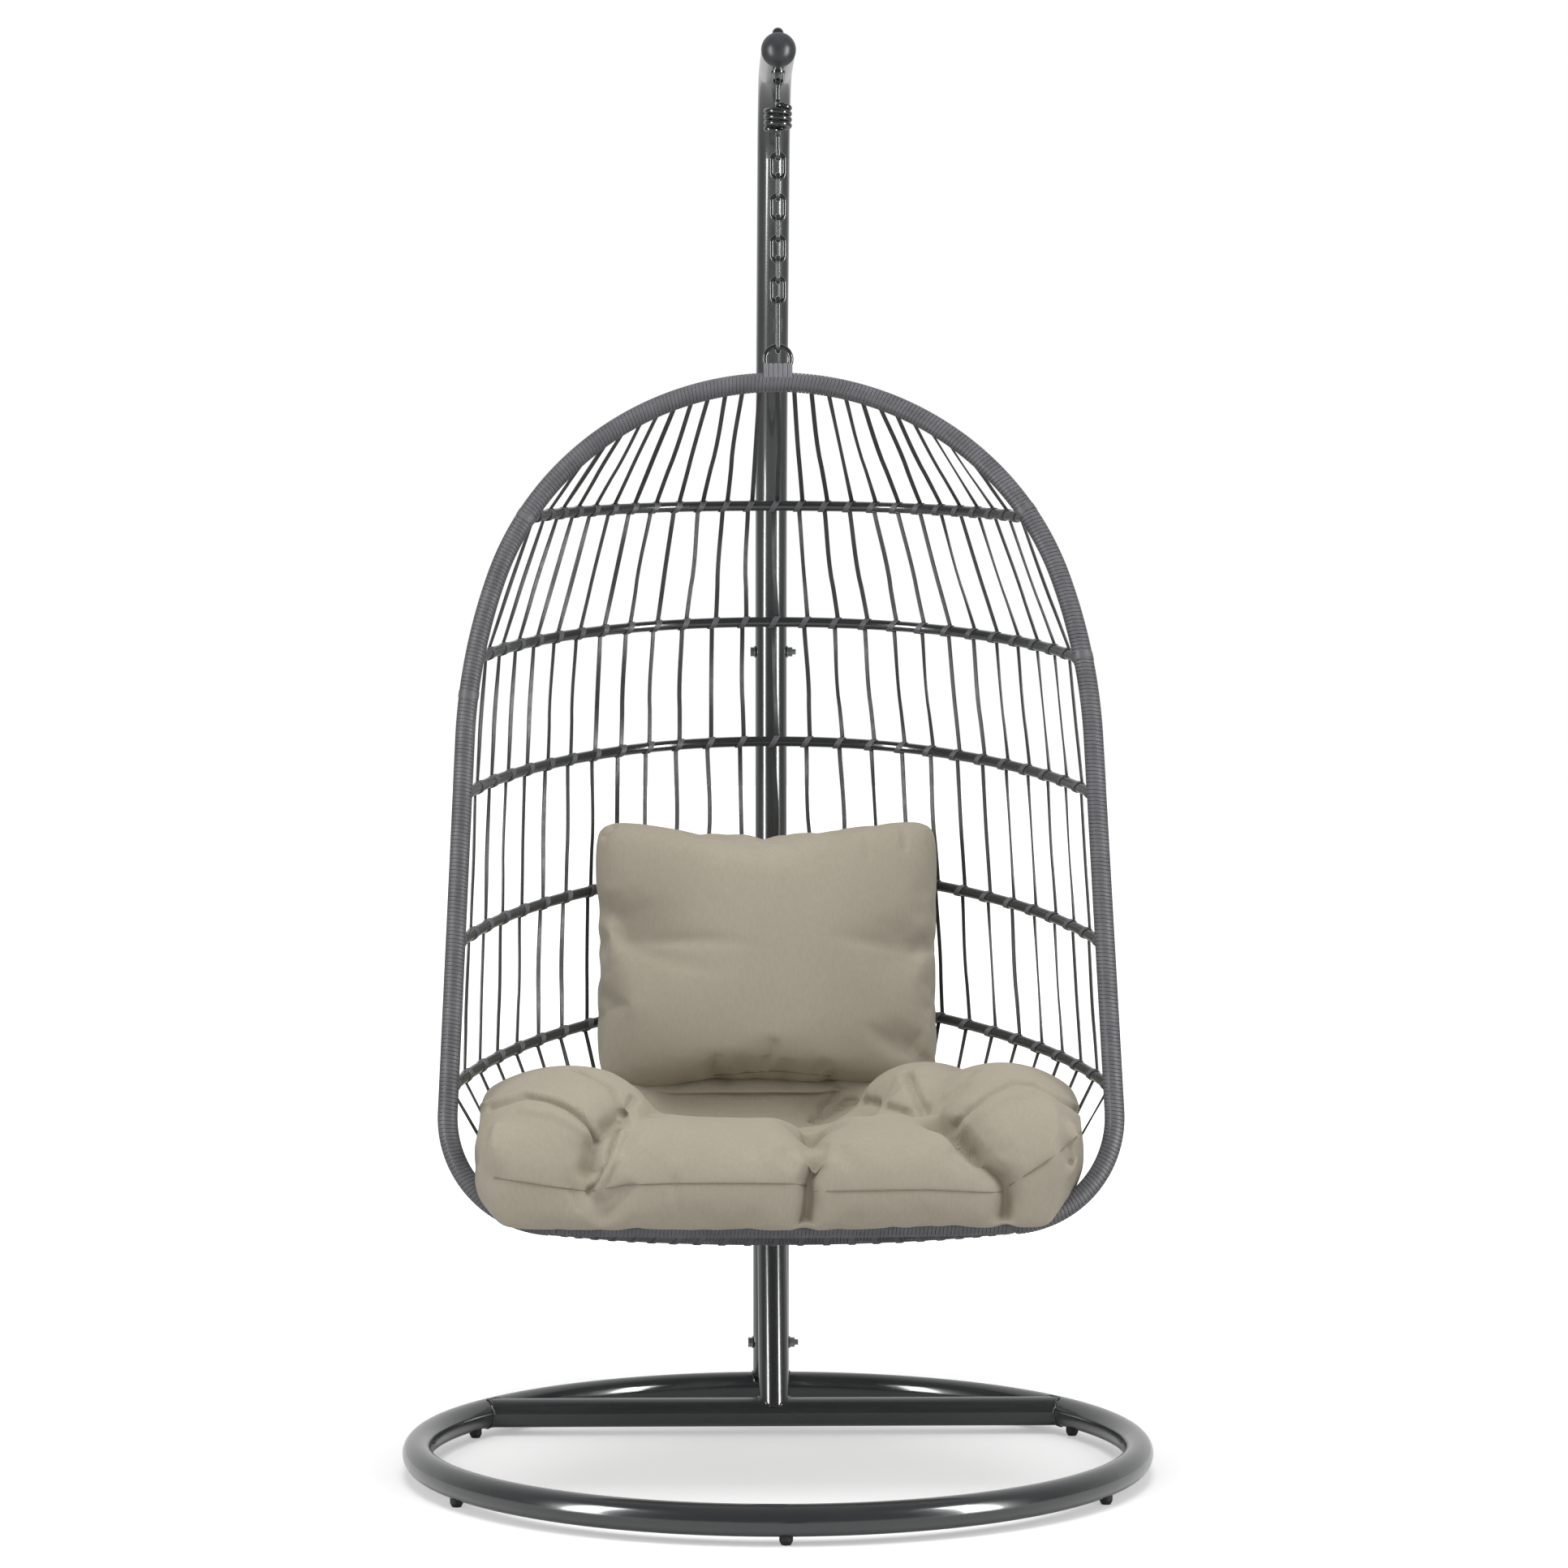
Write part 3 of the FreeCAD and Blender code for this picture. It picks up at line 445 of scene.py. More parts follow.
def sewing_thread():
    """Polyester sewing thread, a shade darker than the cloth."""
    return surface("Polyester sewing thread", "#6f6757", "#827a6a", 1.5, (0.65, 0.75), 3, 0.5, 0.05)[0]


def woven_cloth():
    """Plain weave polyester: matt taupe, with slub in the threads. The real thread is 0.4 mm; it is
    drawn at 1.3 mm here, so that the weave shows."""
    thread_mm = 1.3
    material, tree, place, shader = new_material("Plain weave polyester cloth")
    waves = []
    for axis in ("X", "Z"):
        wave = node(tree, "ShaderNodeTexWave",
                    {"Vector": place, "Scale": 50 / thread_mm * math.pi, "Distortion": 0.6, "Detail": 1.0,
                     "Detail Scale": 2.0}, wave_type="BANDS", bands_direction=axis)
        waves.append(wave.outputs["Fac"])
    weave = node(tree, "ShaderNodeMath", {0: waves[0], 1: waves[1]}, operation="MULTIPLY")
    drawn = node(tree, "ShaderNodeMapping", {"Vector": place, "Scale": (1, 1, 0.35)})
    slub = node(tree, "ShaderNodeTexNoise",
                {"Vector": drawn.outputs["Vector"], "Scale": lumps(1.6), "Detail": 2.0})
    cloud = node(tree, "ShaderNodeTexNoise", {"Vector": place, "Scale": lumps(70), "Detail": 3.0})
    grain = node(tree, "ShaderNodeMath", {0: slub.outputs["Fac"], 1: cloud.outputs["Fac"]}, operation="ADD")
    tone = node(tree, "ShaderNodeMapRange", {"Value": grain.outputs[0], "From Min": 0.6, "From Max": 1.4})
    mix = node(tree, "ShaderNodeMix", {0: tone.outputs["Result"], 6: linear("#98907f"), 7: linear("#a29a89")},
               data_type="RGBA")
    bump = node(tree, "ShaderNodeBump", {"Height": weave.outputs[0], "Strength": 0.5, "Distance": 0.0001})
    tree.links.new(mix.outputs[2], shader.inputs["Base Color"])
    tree.links.new(bump.outputs["Normal"], shader.inputs["Normal"])
    shader.inputs["Roughness"].default_value = 0.82
    shader.inputs["Sheen Weight"].default_value = 0.12
    shader.inputs["Sheen Roughness"].default_value = 0.5
    return material


post_paint = powder_coat()
hoop_paint = hoop_coat()
chain_paint = dipped_steel()
zinc = zinc_plate()
cap_plastic = moulded_cap()
glide_rubber = rubber()
rim_strip = wound_strip("Extruded polyethylene strip, wound", "#505054", "#606064", 0.55)
saddle_strip = wound_strip("Extruded polyethylene strip, laid", "#6c6c70", "#7c7c80", 0.55)
# The strung strip is the same strip as on the rim and ties, made much darker: this dark grey is painted shade
# on the upright strands
strand_strip = wound_strip("Extruded polyethylene strip, strung", "#2c2c2b", "#383836", 0.45)
tie_strip = wound_strip("Extruded polyethylene strip, tied", "#545458", "#626266", 0.5)
cloth = woven_cloth()
thread = sewing_thread()

finishes = {
    post_paint: ["base_ring", "cross_bar", "rear_socket", "front_brace", "lower_post", "post_sleeve",
                 "upper_post"],
    hoop_paint: ["rim_tube", "seat_hoop"] + [f"hoop_{i}" for i in range(1, 6)],
    chain_paint: ["eye_bolt", "dome_nut", "spring", "quick_link", "quick_link_sleeve", "hanger_ring"]
                 + [f"chain_link_{i}" for i in range(1, 8)],
    zinc: ["socket_bolt", "socket_nut", "joint_bolt", "joint_nut", "washers"],
    cap_plastic: ["ball_cap"],
    glide_rubber: ["floor_glides"],
}
for finish, names in finishes.items():
    for name in names:
        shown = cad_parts[name]
        shown.data.materials.clear()
        shown.data.materials.append(finish)


# Wound strip on the rim and on the seat hoop
def wound_tube(name, track, radius, closed):
    """One turn of strip, a ring with a shallow groove, repeated along the tube."""
    deselect()
    bpy.ops.mesh.primitive_cylinder_add(vertices=20, radius=radius, depth=wound_pitch * 0.8,
                                        end_fill_type="NOTHING", rotation=(0, math.pi / 2, 0),
                                        location=(wound_pitch * 0.4, 0, 0))
    turn = settle(named(name))
    select_in_edit(turn, "EDGE", lambda edge: all(abs(v.co.x) < 1e-5 for v in edge.verts))
    bpy.ops.mesh.extrude_edges_move(TRANSFORM_OT_translate={"value": (-wound_pitch * 0.1, 0, 0)})
    dip = 1 - wound_dip / radius
    bpy.ops.transform.resize(value=(1, dip, dip))
    object_mode()
    for vertex in turn.data.vertices:
        vertex.co.x += vertex.co.z * wound_pitch * 0.35 / radius
    count = round(track.length / wound_pitch)
    modifier(turn, "ARRAY", count=count, use_relative_offset=False, use_constant_offset=True,
             constant_offset_displace=(track.length / count, 0, 0))
    rail = track.curve(name + "_rail", closed)
    modifier(turn, "CURVE", object=rail, deform_axis="POS_X")
    drop(rail)
    smooth(turn, 50)
    return turn


rim_winding = wound_tube("rim_winding", rim_track, rim_wrap_r, True)
on_chair(rim_winding, "basket", "wrap_strip", rim_strip, "rim_wrap")
seat_hoop_winding = wound_tube("seat_hoop_winding", seat_hoop_track, seat_hoop_r, False)
on_chair(seat_hoop_winding, "basket", "wrap_strip", rim_strip, "seat_hoop_wrap")


# Laps in the rim's winding, where one length of strip ends on the next: side, height and slant
rim_laps = [(-1, 1.036, 0.25), (-1, 1.271, 0.35), (1, 1.277, -0.35), (1, 1.083, -0.25)]


def rim_lap(side, height, slant):
    deselect()
    bpy.ops.mesh.primitive_cylinder_add(vertices=28, radius=rim_wrap_r + lap_t, depth=lap_width,
                                        end_fill_type="NOTHING")
    lap = named("lap")
    modifier(lap, "SOLIDIFY", thickness=lap_t * 1.5, offset=-1)
    for vertex in lap.data.vertices:
        vertex.co.z += vertex.co.x * slant
    smooth(lap, 40)
    half = Track(half_rim(side))
    share = min((i / 800 for i in range(800)), key=lambda s: abs(half.at(s).z - height))
    along = half.direction(share)
    lap.data.transform(axes_matrix(rim_down.cross(X), along.cross(rim_down.cross(X)), along, half.at(share)))
    return lap


laps = joined([rim_lap(*values) for values in rim_laps], "rim_winding_laps")
on_chair(laps, "basket", "wrap_strip", rim_strip)


# Saddle under the hanging ring: the same strip laid over a block, turn beside turn
def saddle_winding():
    low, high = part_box("hanger_saddle")
    width = (high[0] - low[0]) / saddle_turns
    deselect()
    bpy.ops.mesh.primitive_cube_add(size=1)
    turn = named("saddle_winding")
    turn.scale = (width, high[1] - low[1] - lap_t, high[2] - low[2] + lap_t)
    turn.location = (low[0] + width / 2, (low[1] + high[1]) / 2, (low[2] + high[2] + lap_t) / 2)
    settle(turn)
    modifier(turn, "BEVEL", width=0.0022, segments=3)
    modifier(turn, "ARRAY", count=saddle_turns, use_relative_offset=False, use_constant_offset=True,
             constant_offset_displace=(width, 0, 0))
    smooth(turn, 50)
    return turn


on_chair(saddle_winding(), "basket", "wrap_strip", saddle_strip, "hanger_saddle")


# Weld beads on the stand
def weld(name, target, foot, way, radius):
    """A rippled bead round the end of a tube, where it meets its target."""
    across = way.orthogonal().normalized()
    other = way.cross(across)
    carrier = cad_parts[target]
    data = bpy.data.curves.new(name, "CURVE")
    data.dimensions = "3D"
    data.bevel_depth = bead_r
    data.bevel_resolution = 2
    found = []
    for i in range(72):
        angle = 2 * math.pi * i / 72
        out = across * math.cos(angle) + other * math.sin(angle)
        start = foot + out * (radius + bead_r * 0.3) - way * 0.08
        hit, place, _, _ = carrier.ray_cast(start, way)
        if hit:
            found.append(place)
    spline = data.splines.new("POLY")
    spline.points.add(len(found) - 1)
    for i, (place, point) in enumerate(zip(found, spline.points)):
        point.co = (*place, 1)
        point.radius = 1.0 if i % 3 else 0.72
    spline.use_cyclic_u = True
    made = bpy.data.objects.new(name, data)
    bpy.context.collection.objects.link(made)
    choose(made)
    bpy.ops.object.convert(target="MESH")
    smooth(made, 60)
    on_chair(made, "stand", "painted_steel", post_paint)


bar_low, bar_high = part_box("cross_bar")
bar_y = (bar_low[1] + bar_high[1]) / 2
bar_z = (bar_low[2] + bar_high[2]) / 2
bar_r = (bar_high[2] - bar_low[2]) / 2
for name, side in (("weld_bar_left", -1), ("weld_bar_right", 1)):
    weld(name, "base_ring", Vector((side * (bar_high[0] - 0.01), bar_y, bar_z)), X * side, bar_r)
socket_low, socket_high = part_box("rear_socket")
socket_y = (socket_low[1] + socket_high[1]) / 2
socket_r = (socket_high[0] - socket_low[0]) / 2
weld("weld_socket", "base_ring", Vector((0, socket_y, socket_low[2] + 0.01)), Z * -1, socket_r)
brace_way = Vector((0, -math.sin(brace_lean), -math.cos(brace_lean)))
brace_low, brace_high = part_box("front_brace")
brace_r = (brace_high[0] - brace_low[0]) / 2
weld("weld_brace_foot", "cross_bar", Vector((0, bar_y, bar_z)) - brace_way * 0.05, brace_way, brace_r)
brace_top = Vector((0, bar_y, bar_z)) - brace_way * ((socket_y - bar_y) / math.sin(brace_lean) - 0.09)
weld("weld_brace_top", "rear_socket", brace_top, brace_way * -1, brace_r)


# Upright strands: flat strips, each a little twisted and swayed by hand
def strip_pattern(twist, sway):
    deselect()
    bpy.ops.mesh.primitive_cube_add(size=1, location=(0, 0, 0.5))
    strip = named("strip_pattern")
    strip.scale = (strand_width, strand_t, 1)
    settle(strip)
    modifier(strip, "BEVEL", width=0.0007, segments=1)
    select_in_edit(strip, "EDGE", lambda edge: abs(edge.verts[0].co.z - edge.verts[1].co.z) > 0.9)
    bpy.ops.mesh.subdivide(number_cuts=9)
    object_mode()
    for vertex in strip.data.vertices:
        share = vertex.co.z
        turn = Matrix.Rotation(twist * math.sin(math.pi * share), 2)
        turned = turn @ Vector((vertex.co.x, vertex.co.y))
        vertex.co.x = turned.x + sway * math.sin(math.pi * share) ** 2 * (1 if share < 0.6 else 0.7)
        vertex.co.y = turned.y
    smooth(strip, 40)
    return strip


def strand_row(number, upper, lower, patterns, chance):
    strips = []
    # The outermost strands of the top row would lie along the rim
    left_out = 1 if number == 1 else 0
    for i in range(left_out, strand_count - left_out):
        share = (i + 0.5) / strand_count
        high = upper.at(share)
        low = lower.at(share)
        if (low - high).length < 0.04:
            continue
        upper_way = upper.direction(share)
        lower_way = lower.direction(share)
        high = high - upper_way * (tie_slant * 0.3)
        low = low + lower_way * tie_slant
        way = low - high
        across = (upper_way + lower_way).normalized()
        across = (across - way.normalized() * across.dot(way.normalized())).normalized()
        out = way.normalized().cross(across).normalized()
        if out.y < 0:
            out = out * -1
        shift = out * strand_behind
        place = axes_matrix(across, out, way, high + shift)
        strips.append(copy_to(chance.choice(patterns), place, "strip"))
    row = joined(strips, f"strand_row_{number}")
    # The strands get the strung strip, whose dark grey is painted shade
    on_chair(row, "basket", "strand_strip", strand_strip, f"strands_{number}")


chance = random.Random(7)
patterns = []
for _ in range(9):
    twist = math.radians(chance.uniform(-38, 38))
    patterns.append(strip_pattern(twist, chance.uniform(-0.003, 0.003)))
tracks = [top_track] + hoop_tracks + [seat_hoop_track, low_track]
for number, (upper, lower) in enumerate(zip(tracks, tracks[1:]), 1):
    strand_row(number, upper, lower, patterns, chance)
drop(*patterns)


# Ties: where each strand is wound once round a hoop
def tie_pattern(radius):
    deselect()
    bpy.ops.mesh.primitive_cylinder_add(vertices=18, radius=radius + tie_t, depth=tie_width,
                                        end_fill_type="NOTHING")
    tie = named("tie_pattern")
    modifier(tie, "SOLIDIFY", thickness=tie_t, offset=-1)
    for vertex in tie.data.vertices:
        vertex.co.z += vertex.co.x / radius * tie_slant
    smooth(tie, 40)
    return tie


def tie_row(name, track, radius, pattern):
    ties = []
    for i in range(strand_count):
        share = (i + 0.5) / strand_count
        along = track.direction(share)
        up = (Z - along * along.z).normalized()
        place = axes_matrix(up, along.cross(up), along, track.at(share))
        ties.append(copy_to(pattern, place, "tie"))
    row = joined(ties, name)
    on_chair(row, "basket", "strand_strip", tie_strip)


pattern = tie_pattern(hoop_r)
for number, track in enumerate(hoop_tracks, 1):
    tie_row(f"hoop_ties_{number}", track, hoop_r, pattern)
drop(pattern)
pattern = tie_pattern(seat_hoop_r)
tie_row("seat_hoop_ties", seat_hoop_track, seat_hoop_r, pattern)
drop(pattern)


# Soft parts: shared steps
cloth_voxel = 0.006
fold_jump = 0.022
thread_r = 0.0007
thread_lift = 0.0012
wall_gap = 0.009
wall_front = -0.235
wall_fade = 0.03


def places(piece):
    """The piece's points and their outward directions, as arrays."""
    mesh = piece.data
    points = np.empty(len(mesh.vertices) * 3)
    mesh.vertices.foreach_get("co", points)
    outward = np.empty(len(mesh.vertices) * 3)
    mesh.vertex_normals.foreach_get("vector", outward)
    return points.reshape(-1, 3), outward.reshape(-1, 3)


def place_at(piece, points):
    piece.data.vertices.foreach_set("co", points.reshape(-1))
    piece.data.update()


def seen(piece, line, plane_y):
    """The line as the camera sees it on the piece. Its points are x and z in mm on an upright plane."""
    bpy.context.view_layer.update()
    corners = [Vector((x / 1000, plane_y, z / 1000)) for x, z in line]
    found = []
    for first, last in zip(corners, corners[1:]):
        steps = max(1, round((last - first).length / 0.008))
        for i in range(steps + 1):
            hit, place, _, _ = piece.ray_cast(eye, first.lerp(last, i / steps) - eye)
            if hit:
                found.append(place.copy())
    for _ in range(2):
        found[1:-1] = [(a + b * 2 + c) / 4 if (c - a).length < 2 * fold_jump else b
                       for a, b, c in zip(found, found[1:], found[2:])]
    return found


def distance_to(points, line, jump):
    """How far each point is from a line of straight runs. Runs that are longer than the jump are left out."""
    nearest = np.full(len(points), 10.0)
    for first, last in zip(line, line[1:]):
        run = np.array(last - first)
        if not 1e-10 < run @ run < jump ** 2:
            continue
        share = np.clip((points - np.array(first)) @ run / (run @ run), 0, 1)
        nearest = np.minimum(nearest, np.linalg.norm(points - np.array(first) - share[:, None] * run, axis=1))
    return nearest


def press(piece, line, depth, width, jump=fold_jump):
    """Presses a fold into the cloth along a line, and gives how near each point is to it. A negative depth
    raises a ridge."""
    points, outward = places(piece)
    near = np.exp(-(distance_to(points, line, jump) / width) ** 2)
    place_at(piece, points - outward * (depth * near)[:, None])
    return near


def swell(piece, held, pressure, growth, cap, frames):
    """Blows the cloth up from inside. Points with a weight in `held` stay, and none moves more than
    the cap."""
    start, _ = places(piece)
    group = piece.vertex_groups.new(name="held")
    for index in np.nonzero(held > 0.02)[0]:
        group.add([int(index)], float(held[index]), "REPLACE")
    choose(piece)
    cloth = piece.modifiers.new("Cloth", "CLOTH")
    cloth.settings.quality = 6
    cloth.settings.mass = 0.25
    cloth.settings.tension_stiffness = 12
    cloth.settings.compression_stiffness = 12
    cloth.settings.shear_stiffness = 6
    cloth.settings.bending_stiffness = 0.5
    cloth.settings.use_pressure = True
    cloth.settings.uniform_pressure_force = pressure
    cloth.settings.shrink_min = -growth
    cloth.settings.vertex_group_mass = "held"
    cloth.settings.effector_weights.gravity = 0
    cloth.collision_settings.use_collision = False
    for number in range(1, frames + 1):
        bpy.context.scene.frame_set(number)
    bpy.ops.object.modifier_apply(modifier="Cloth")
    bpy.context.scene.frame_set(1)
    piece.vertex_groups.clear()
    end, _ = places(piece)
    moved = end - start
    reach = np.linalg.norm(moved, axis=1, keepdims=True) + 1e-9
    place_at(piece, start + moved / reach * cap * np.tanh(reach / cap))


def basket_wall():
    """The surface that the strands lie in, round the soft parts, with its faces pointing outwards."""
    columns = 60
    tracks = hoop_tracks[1:] + [seat_hoop_track, low_track]
    points = [track.at(i / columns) for track in tracks for i in range(columns + 1)]
    faces = []
    for row in range(len(tracks) - 1):
        for i in range(columns):
            corner = row * (columns + 1) + i
            faces.append((corner, corner + 1, corner + columns + 2, corner + columns + 1))
    mesh = bpy.data.meshes.new("basket_wall")
    mesh.from_pydata(points, [], faces)
    wall = bpy.data.objects.new("basket_wall", mesh)
    bpy.context.collection.objects.link(wall)
    back = mesh.polygons[columns // 2]
    if back.normal.y < 0:
        mesh.flip_normals()
    modifier(wall, "SUBSURF", levels=1, render_levels=1, subdivision_type="SIMPLE")
    return wall


def keep_inside(piece):
    """Pushes the cloth behind the rim back inside the strands and hoops."""
    wall = basket_wall()
    points, _ = places(piece)
    behind = np.clip((points[:, 1] - wall_front) / wall_fade, 0, 1)
    group = piece.vertex_groups.new(name="behind the rim")
    for index in np.nonzero(behind > 0)[0]:
        group.add([int(index)], float(behind[index]), "REPLACE")
    modifier(piece, "SHRINKWRAP", target=wall, wrap_method="NEAREST_SURFACEPOINT", wrap_mode="INSIDE",
             offset=wall_gap, vertex_group=group.name)
    piece.vertex_groups.clear()
    drop(wall)


# Seat cushion: the puffs between its sewn folds, each with its middle, half size and boxiness
seat_plane = -0.200
seat_puffs = [
    ((-0.278, -0.140, 0.445), (0.136, 0.150, 0.106), 0.10),
    ((0.292, -0.140, 0.445), (0.114, 0.150, 0.109), 0.10),
    ((0.196, -0.045, 0.440), (0.112, 0.140, 0.105), 0.15),
    ((-0.106, -0.218, 0.422), (0.136, 0.066, 0.062), 0.55),
    ((0.160, -0.218, 0.422), (0.120, 0.066, 0.058), 0.55),
    ((-0.020, 0.074, 0.464), (0.262, 0.044, 0.060), 0.60),
    ((-0.010, -0.236, 0.410), (0.385, 0.062, 0.046), 0.75),
]
seat_hollows = [
    ([Vector((-0.145, -0.085, 0.500)), Vector((-0.015, -0.085, 0.500))], 0.046, 0.045),
    ([Vector((-0.130, 0.000, 0.500)), Vector((0.050, 0.000, 0.500))], 0.040, 0.055),
    ([Vector((0.030, -0.095, 0.500)), Vector((0.100, -0.105, 0.505))], 0.030, 0.036),
]
core_inset = 0.010
droop_start = 0.425
droop_front = -0.270
droop_depth = 0.016

# Where the cushion is stitched through or drawn in: x and z in mm, with how deep and how wide
seat_creases = [
    ([(-204, 494), (-222, 480), (-239, 460), (-247, 428)], 0.020, 0.011),
    ([(-247, 428), (-247, 399), (-229, 368)], 0.008, 0.012),
    ([(36, 484), (42, 459), (45, 428), (34, 406), (37, 386), (31, 354)], 0.032, 0.009),
    ([(194, 488), (222, 477), (246, 449), (274, 422), (289, 410), (292, 385), (289, 359)], 0.030, 0.009),
]

# Loose folds in the cloth: a fold with a depth below zero stands up
seat_folds = [
    ([(-239, 465), (-250, 486), (-273, 506), (-302, 518), (-326, 522), (-373, 507)], 0.0056, 0.0051),
    ([(-246, 466), (-262, 482), (-290, 498), (-330, 505)], -0.0032, 0.0068),
    ([(-237, 470), (-250, 497), (-279, 515), (-331, 528), (-383, 510)], -0.004, 0.0051),
    ([(-206, 499), (-211, 522), (-225, 540), (-263, 556)], 0.0064, 0.0059),
    ([(-202, 499), (-192, 515), (-180, 534)], 0.008, 0.0059),
    ([(-244, 400), (-225, 436), (-211, 477)], 0.0064, 0.0045),
    ([(-234, 400), (-216, 436), (-203, 474)], -0.0048, 0.0051),
    ([(-247, 397), (-232, 381), (-198, 404)], 0.0022, 0.006),
    ([(-267, 397), (-262, 378)], 0.0022, 0.005),
    ([(-190, 405), (-211, 381), (-225, 367)], 0.0022, 0.006),
    ([(-137, 470), (-136, 444)], 0.0016, 0.008),
    ([(-137, 412), (-135, 388), (-131, 370)], 0.002, 0.006),
    ([(184, 500), (174, 522), (161, 550)], 0.009, 0.007),
    ([(198, 502), (205, 514), (244, 550)], 0.006, 0.008),
    ([(222, 480), (236, 497), (272, 527), (300, 540), (329, 536), (384, 502)], 0.0064, 0.0059),
    ([(230, 470), (250, 495), (280, 515), (320, 525)], -0.0032, 0.0076),
    ([(171, 497), (110, 515), (84, 513), (42, 491)], 0.008, 0.0059),
    ([(52, 504), (65, 516), (76, 534)], 0.006, 0.006),
    ([(12, 500), (-15, 507), (-48, 508), (-80, 502)], -0.002, 0.006),
]
seat_seams = [
    [(-370, 417), (-308, 407), (-247, 399), (-197, 407), (-138, 409), (-59, 409), (19, 408), (33, 405)],
    [(44, 398), (112, 399), (189, 400), (272, 396), (285, 397)],
    [(294, 405), (329, 427), (364, 452), (387, 474)],
]


def puff(middle, half, boxy):
    deselect()
    bpy.ops.mesh.primitive_uv_sphere_add(segments=40, ring_count=24, radius=1)
    made = named("puff")
    modifier(made, "CAST", cast_type="CUBOID", factor=boxy)
    made.scale = half
    made.location = middle
    return settle(made)


def seat_core():
    """The cushion's body as an even mesh, a little smaller than its place in the basket."""
    core = copy_to(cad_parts["seat_cushion"], Matrix(), "seat_cushion_cover")
    select_in_edit(core, "VERT", lambda vertex: True)
    bpy.ops.mesh.remove_doubles(threshold=0.0002)
    object_mode()
    modifier(core, "REMESH", mode="VOXEL", voxel_size=cloth_voxel)
    modifier(core, "SMOOTH", factor=0.5, iterations=2)
    modifier(core, "DISPLACE", strength=-core_inset, mid_level=0)
    return core


def seat_cushion():
    piece = joined([seat_core()] + [puff(*sizes) for sizes in seat_puffs], "seat_cushion_cover")
    modifier(piece, "REMESH", mode="VOXEL", voxel_size=cloth_voxel)
    modifier(piece, "SMOOTH", factor=0.5, iterations=10)
    deep = np.zeros(len(piece.data.vertices))
    for line, depth, width in seat_hollows:
        deep = np.maximum(deep, press(piece, line, depth, width, 1))
    points, outward = places(piece)
    low = np.clip((droop_start - points[:, 2]) / 0.04, 0, 1)
    front = np.clip((droop_front - points[:, 1]) / 0.03, 0, 1)
    points[:, 2] -= droop_depth * low * front
    place_at(piece, points)
    under = (outward[:, 2] < -0.6) & (points[:, 1] > -0.25)
    held = (under | (outward[:, 1] > 0.6) | (deep > 0.75)).astype(float)
    for line, depth, width in seat_creases:
        near = press(piece, seen(piece, line, seat_plane), depth, width)
        held = np.maximum(held, (near > 0.75).astype(float))
    swell(piece, held, 7.0, 0.02, 0.018, 20)
    keep_inside(piece)
    modifier(piece, "SMOOTH", factor=0.5, iterations=3)
    modifier(piece, "SUBSURF", levels=1, render_levels=1)
    for line, depth, width in seat_folds:
        press(piece, seen(piece, line, seat_plane), depth, width)
    on_chair(piece, "seat_cushion", "cushion_cloth", cloth, "seat_cushion")
    return piece


def seam(piece, name, line, plane_y, body):
    """Sewing thread along a seam, lying on the cloth."""
    data = bpy.data.curves.new(name, "CURVE")
    data.dimensions = "3D"
    data.bevel_depth = thread_r
    data.bevel_resolution = 1
    found = seen(piece, line, plane_y)
    spline = data.splines.new("POLY")
    spline.points.add(len(found) - 1)
    for place, point in zip(found, spline.points):
        point.co = (*(place + (eye - place).normalized() * thread_lift), 1)
    made = bpy.data.objects.new(name, data)
    bpy.context.collection.objects.link(made)
    choose(made)
    bpy.ops.object.convert(target="MESH")
    on_chair(made, body, "cushion_cloth", thread)
    return made


seat_cover = seat_cushion()
for number, line in enumerate(seat_seams, 1):
    seam(seat_cover, f"seat_cushion_seam_{number}", line, seat_plane, "seat_cushion")

# Back pillow: leans on the back, with its zip along the lower edge
pillow_plane = 0.050
pillow_middle = Vector((-0.014, 0.110, 0.677))
pillow_half = (0.236, 0.062, 0.188)
pillow_edge = 0.020
pillow_lean = math.radians(8.5)
pillow_pinches = [
    ([(-250, 748), (-232, 748), (-212, 731), (-204, 704)], 0.012, 0.014),
    ([(222, 698), (201, 698), (188, 692)], 0.012, 0.012),
    ([(199, 537), (192, 545), (183, 559)], 0.008, 0.012),
]
pillow_folds = [
    ([(-89, 522), (-86, 532), (-82, 545)], 0.003, 0.008),
    ([(-34, 526), (-31, 537)], 0.002, 0.005),
    ([(-21, 526), (-17, 545)], 0.002, 0.005),
    ([(-9, 526), (-9, 544), (-4, 566)], 0.0022, 0.006),
    ([(-215, 864), (-232, 846)], 0.004, 0.006),
    ([(170, 858), (172, 831)], 0.003, 0.006),
    ([(120, 846), (122, 818)], 0.002, 0.006),
]
pillow_zip = [(-85, 523), (-46, 526), (-8, 529), (30, 526), (72, 522)]


